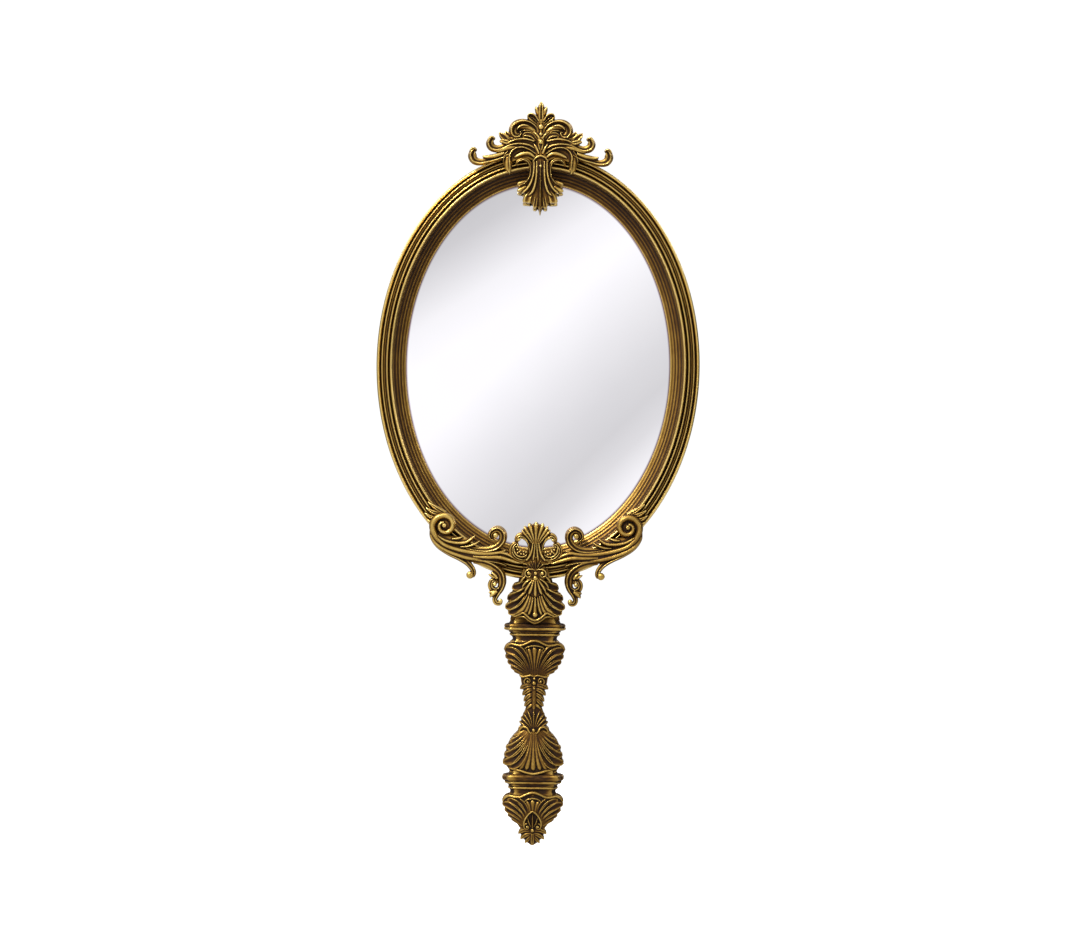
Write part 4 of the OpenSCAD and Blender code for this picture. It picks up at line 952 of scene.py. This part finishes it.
# ---------------------------------------------------------------- back cover
# a stepped border round a shallow field, with a sunk seat for each of its screws
COVER = grid("""
0.716 5.35, 0.719 6.3, 0.712 6.7, 0.695 6.93, 0.66 7, 0.5 7, 0.475 6.9, 0.46 6.6, 0.44 6.45, 0.42 6.6,
0.395 6.95, 0.36 7, 0.325 6.9, 0.3 6.5, 0.28 6.35, 0.24 6.35, 0.215 6.6, 0.19 6.62, 0.16 6.45
""", 2)


SCREW_T = 0.58


def back_plate(name, around=480):
    edge = section(COVER, 0.2)
    inward = np.linspace(1, 0.02, 110)[1:]
    t0 = edge[-1, 0]
    rings = [(*half_axes(t), y) for t, y in edge]
    wide, tall = half_axes(t0)
    rings += [(wide * f, tall * f, 6.45 + 0.4 * (1 - f * f)) for f in inward]
    a = np.linspace(0, 2 * math.pi, around, endpoint=False)
    R = np.array(rings)
    y = np.repeat(R[:, 2, None], around, 1)
    p = np.stack([R[:, 0, None] * np.cos(a), y, CENTRE_Z + R[:, 1, None] * np.sin(a)], 2)
    wave = 0.05 * lattice(61, 24, 24, (p[:, :, 0] + 70) / 6, (p[:, :, 2] - 50) / 8)
    p[:, :, 1] += np.where(p[:, :, 1] > 6.0, wave - 0.06, 0)
    wide, tall = half_axes(SCREW_T)
    for k in range(6):
        sx = wide * math.cos(math.pi * k / 3)
        sz = CENTRE_Z + tall * math.sin(math.pi * k / 3)
        far = np.hypot(p[:, :, 0] - sx, p[:, :, 2] - sz)
        p[:, :, 1] -= 0.35 * np.clip((2.0 - far) / 0.45, 0, 1)
    n, m = p.shape[:2]
    faces = tube(n, m)
    pts = p.reshape(-1, 3).tolist() + [[0, 6.85, CENTRE_Z], [0, 5.35, CENTRE_Z]]
    faces += [[n * m, (n - 1) * m + k, (n - 1) * m + (k + 1) % m] for k in range(m)]
    faces += [[n * m + 1, (k + 1) % m, k] for k in range(m)]
    return settle(new_object(name, pts, faces), passes=(4, 14, 40), sizes=(0.05, 0.14, 0.3))


finish_piece(back_plate("back_cover_cast"), ["back_cover"], GOLD_BACK)

# ---------------------------------------------------------------- turned collars
def loft(name, levels, seed=21):
    """An eight-sided body with soft corners through levels of [z, half width, half depth], in mm."""
    lv = np.array(levels, float)
    s = np.concatenate([[0], np.cumsum(np.hypot(np.diff(lv[:, 0]), np.diff(lv[:, 1])))])
    fine = np.linspace(0, s[-1], int(s[-1] / 0.09))
    z, w, d = (np.interp(fine, s, lv[:, k]) for k in range(3))
    for q in (z, w, d):
        q[1:-1] = 0.25 * q[:-2] + 0.5 * q[1:-1] + 0.25 * q[2:]
    corners = np.array([(1, -0.42), (1, 0.42), (0.80, 1), (-0.80, 1),
                        (-1, 0.42), (-1, -0.42), (-0.80, -1), (0.80, -1)])
    ring = []
    for a, b in zip(corners, np.roll(corners, -1, 0)):
        ring += [a + (b - a) * f for f in np.linspace(0, 1, 22, endpoint=False)]
    ring = np.array(ring)
    for _ in range(4):
        ring = 0.25 * np.roll(ring, 1, 0) + 0.5 * ring + 0.25 * np.roll(ring, -1, 0)
    n, m = len(z), len(ring)
    u = np.arange(m) / m
    U, V = np.meshgrid(u, (z - z.min()) / (z.max() - z.min()), indexing="xy")
    wave = 1 + 0.006 * lattice(seed, 40, 12, U * 40, V * 12)
    wave += 0.004 * lattice(seed + 1, 120, 36, U * 120, V * 36)
    p = np.stack([ring[:, 0] * w[:, None] * wave, ring[:, 1] * d[:, None] * wave,
                  np.tile(z[:, None], (1, m))], 2)
    faces = tube(n, m)
    pts = p.reshape(-1, 3).tolist() + [[0, 0, z[0]], [0, 0, z[-1]]]
    faces += [[n * m, k, (k + 1) % m] for k in range(m)]
    faces += [[n * m + 1, (n - 1) * m + (k + 1) % m, (n - 1) * m + k] for k in range(m)]
    return settle(new_object(name, pts, faces), passes=(3, 12, 50), sizes=(0.02, 0.06, 0.22))


UPPER = grid("""
35.2 8.6 4.4, 33.6 9.4 4.9, 32.6 9.9 5.2, 31.9 10.2 5.4, 31.5 10.4 5.5, 31.35 11.2 6, 31.1 12 6.45,
30.7 12.3 6.6, 30.3 12.35 6.62, 30.12 12.1 6.45, 30 12 6.4, 29.88 12.1 6.45, 29.7 12.4 6.7,
29.35 12.5 6.8, 29 12.35 6.7, 28.75 11.9 6.45, 28.6 11.3 6.1, 28.5 10.7 5.75, 28.3 10.45 5.6,
28 10.4 5.6, 27.8 10.1 5.4, 27.65 9.7 5.15, 27.5 9.75 5.2, 27.35 10 5.45, 27 10.15 5.55, 26.7 10.05 5.5,
26.45 9.6 5.25, 26.2 9.2 5, 25.6 8.95 4.85, 25 8.9 4.85, 24.6 9.2 5, 24.4 9.6 5.1, 24 10 5.2
""", 3)
# painted highlight lines on the upper collar's beads and painted shade in its grooves, by height
UPPER_PAINTED_LIGHT = grid("""
24.6 -0.1, 26.2 -0.12, 26.6 0.22, 27.1 0.22, 27.4 -0.1, 27.6 -0.35, 27.9 0, 28.4 -0.1, 28.8 0.12,
29.2 0.25, 29.7 0.08, 30 -0.35, 30.3 -0.15, 31.2 -0.18, 32 -0.05, 33 0.05
""", 2)
LOWER = grid("""
-27.2 9.2 5, -28.2 9.5 5.1, -29 9.8 5.25, -29.3 10.2 5.45, -29.45 11.2 6, -29.75 12 6.45,
-30.2 12.4 6.75, -30.8 12.5 6.8, -31.4 12.4 6.75, -31.8 12 6.45, -31.98 11.6 6.2, -32.1 11.3 6,
-32.22 11.3 6, -32.4 11.5 6.15, -32.75 11.5 6.2, -33.1 11.2 6, -33.35 10.5 5.6, -33.5 10 5.3,
-33.7 10 5.3, -34.1 9.9 5.25, -34.25 9.6 5.1, -34.4 9.7 5.15, -34.6 10 5.4, -34.9 10.1 5.5,
-35.15 10 5.4, -35.35 9.6 5.15, -35.6 9.3 5, -36.2 9.1 4.95, -36.8 9.2 5, -37.2 9.5 5.1, -38 9.6 5.1
""", 3)
# painted highlight lines on the lower collar's beads and painted shade in its grooves, by height
LOWER_PAINTED_LIGHT = grid("""
-37.4 -0.1, -35.6 -0.12, -35.2 0.12, -34.8 0.2, -34.5 0.08, -34.25 -0.3, -34 -0.05, -33.5 -0.12,
-33.1 0.1, -32.8 0.2, -32.4 0.08, -32.15 -0.35, -31.8 -0.12, -30.5 -0.1, -29.5 0, -28 0.06
""", 2)
for name, levels, stops, seed in (
        ("upper_collar", UPPER, UPPER_PAINTED_LIGHT, 21), ("lower_collar", LOWER, LOWER_PAINTED_LIGHT, 31)):
    ob = loft(name + "_cast", levels, seed)
    add_painted_light(ob, positions(ob.data)[:, 2] / MM, stops)
    finish_piece(ob, [name], GOLD_COLLAR)

# ---------------------------------------------------------------- the frame's own pieces that stay in sight
STEEL_NODES = ("cover_screws", "ornament_screws", "neck_tang", "neck_pins", "tang_pins", "tie_rod",
               "rod_washer", "rod_nut")
for node, material in (("mirror_glass", MIRROR), ("foam_pad", FOAM), ("neck_block", GOLD_PLAIN),
                       *((node, STEEL) for node in STEEL_NODES)):
    ob = bpy.data.objects[node]
    ob.data.materials.clear()
    ob.data.materials.append(material)


# ---------------------------------------------------------------- stage, light and world
FLOOR_RADIUS, FLOOR_Z, FLOOR_SIDES = 1.4, -0.16, 96
turns = [2 * math.pi * k / FLOOR_SIDES for k in range(FLOOR_SIDES)]
rim = [(FLOOR_RADIUS * math.cos(a), FLOOR_RADIUS * math.sin(a), FLOOR_Z) for a in turns]
floor = new_object("floor", rim, [list(range(FLOOR_SIDES))])
m, t, shader = new_material("studio_floor")
where = t.where()
pale = t.ramp(t.noise(where, 2.0, 3), [(0.3, (0.80, 0.80, 0.80)), (0.7, (0.84, 0.84, 0.84))])
# reflections see it greyer near the object, so that the glass shows a tone from above too
near = t.spread(t.add("VectorMath", {0: where}, "Value", operation="LENGTH"), 0.15, 1.3, 0.55, 0.2)
grey = t.maths("MULTIPLY", t.add("LightPath", {}, "Is Glossy Ray"), near)
t.put(shader, {
    "Base Color": t.mix(grey, pale, (0.10, 0.10, 0.105, 1)), "Specular IOR Level": 0.2,
    "Roughness": t.spread(t.noise(where, 8.0, 3), 0.3, 0.7, 0.85, 0.95), "Emission Color": (1, 1, 1, 1),
    "Emission Strength": t.maths("MULTIPLY", t.add("LightPath", {}, "Is Camera Ray"), 0.45)})
floor.data.materials.append(m)

# a wall behind the camera that only reflections see: white with two soft grey fields
CARD_Y = -2.0
CARD_SCALE = 1 + 2.0 / 1.2143     # the wall's size over that of its reflection, as seen in the glass
card = new_object("reflected_wall", [(x, CARD_Y, z) for x, z in ((-0.25, -0.09), (0.25, -0.09), (0.25, 0.5),
                                                                 (-0.25, 0.5))], [(0, 3, 2, 1)])
card.visible_camera = card.visible_shadow = card.visible_diffuse = False
m, t, shader = new_material("reflected_wall")
t.nodes.remove(shader)


def in_glass(axis, aim):
    """Where the wall's point is seen in the glass."""
    place = t.add("SeparateXYZ", {0: t.where()}, axis)
    return t.maths("MULTIPLY_ADD", place, 1 / CARD_SCALE, aim * (1 - 1 / CARD_SCALE))


def tones(value, stops):
    """Greys along one direction in the glass."""
    low, high = stops[0][0], stops[-1][0]
    value = t.maths("MULTIPLY_ADD", value, 1 / (high - low), -low / (high - low), clamp=True)
    return t.ramp(value, [((at - low) / (high - low), (c, c * 0.985, c * 1.02)) for at, c in stops])


gx, gz = in_glass("X", AIM_X), in_glass("Z", AIM_Z)
band = tones(t.maths("SUBTRACT", gz, gx), grid("""
0.04 1.06, 0.05 0.97, 0.065 0.78, 0.078 0.705, 0.095 0.765, 0.115 0.87, 0.135 0.99, 0.15 1.07
""", 2))
corner = tones(t.maths("MULTIPLY_ADD", gx, -0.667, gz), grid("""
0.165 1.07, 0.182 0.98, 0.195 0.82, 0.208 0.67, 0.225 0.6
""", 2))
glow = t.add("Emission", {"Color": t.mix(1.0, band, corner, "DARKEN")})
t.put(t.nodes["Material Output"], {"Surface": glow})
card.data.materials.append(m)

# the camera sees plain white; the object is lit by a sky that is brightest towards the upper left
world = bpy.data.worlds.new("studio")
bpy.context.scene.world = world
world.use_nodes = True
t = Tree(world.node_tree)
BRIGHT = Vector((-0.46, -0.46, 0.76)).normalized()
facing = t.add("VectorMath", {0: t.where("Generated"), 1: BRIGHT}, "Value", operation="DOT_PRODUCT")
shade = t.ramp(t.spread(facing, -1, 1), [
    (0.0, (0.10, 0.095, 0.09)), (0.40, (0.16, 0.155, 0.15)), (0.58, (0.26, 0.26, 0.26)),
    (0.75, (0.52, 0.52, 0.53)), (0.92, (1.15, 1.15, 1.17))])
sky = t.add("Background", {"Color": shade, "Strength": 0.85})
plain = t.nodes["Background"]
t.put(plain, {"Color": (1, 1, 1, 1), "Strength": 1.05})
seen = t.add("MixShader", {"Fac": t.add("LightPath", {}, "Is Camera Ray"), 1: sky, 2: plain.outputs[0]})
t.put(t.nodes["World Output"], {"Surface": seen})


def soft_light(name, at, towards, size, power):
    data = bpy.data.lights.new(name, "AREA")
    data.shape, data.size, data.energy = "DISK", size, power
    ob = bpy.data.objects.new(name, data)
    bpy.context.scene.collection.objects.link(ob)
    ob.location = at
    ob.rotation_euler = (Vector(towards) - Vector(at)).to_track_quat("-Z", "Y").to_euler()
    ob.visible_camera = False


soft_light("key", (-0.8, -0.9, 1.35), (0, 0, 0.1), 0.35, 30)
soft_light("fill", (1.2, -0.9, 0.5), (0, 0, 0.1), 0.5, 3)
soft_light("top", (0.0, 0.1, 1.8), (0, 0, 0), 1.0, 14)
soft_light("back_left", (-0.9, 1.4, 0.9), (0, 0, 0.1), 0.7, 5)
soft_light("back_right", (0.9, 1.4, 0.9), (0, 0, 0.1), 0.7, 5)

bpy.context.scene.view_settings.view_transform = "Standard"
bpy.context.scene.view_settings.look = "None"
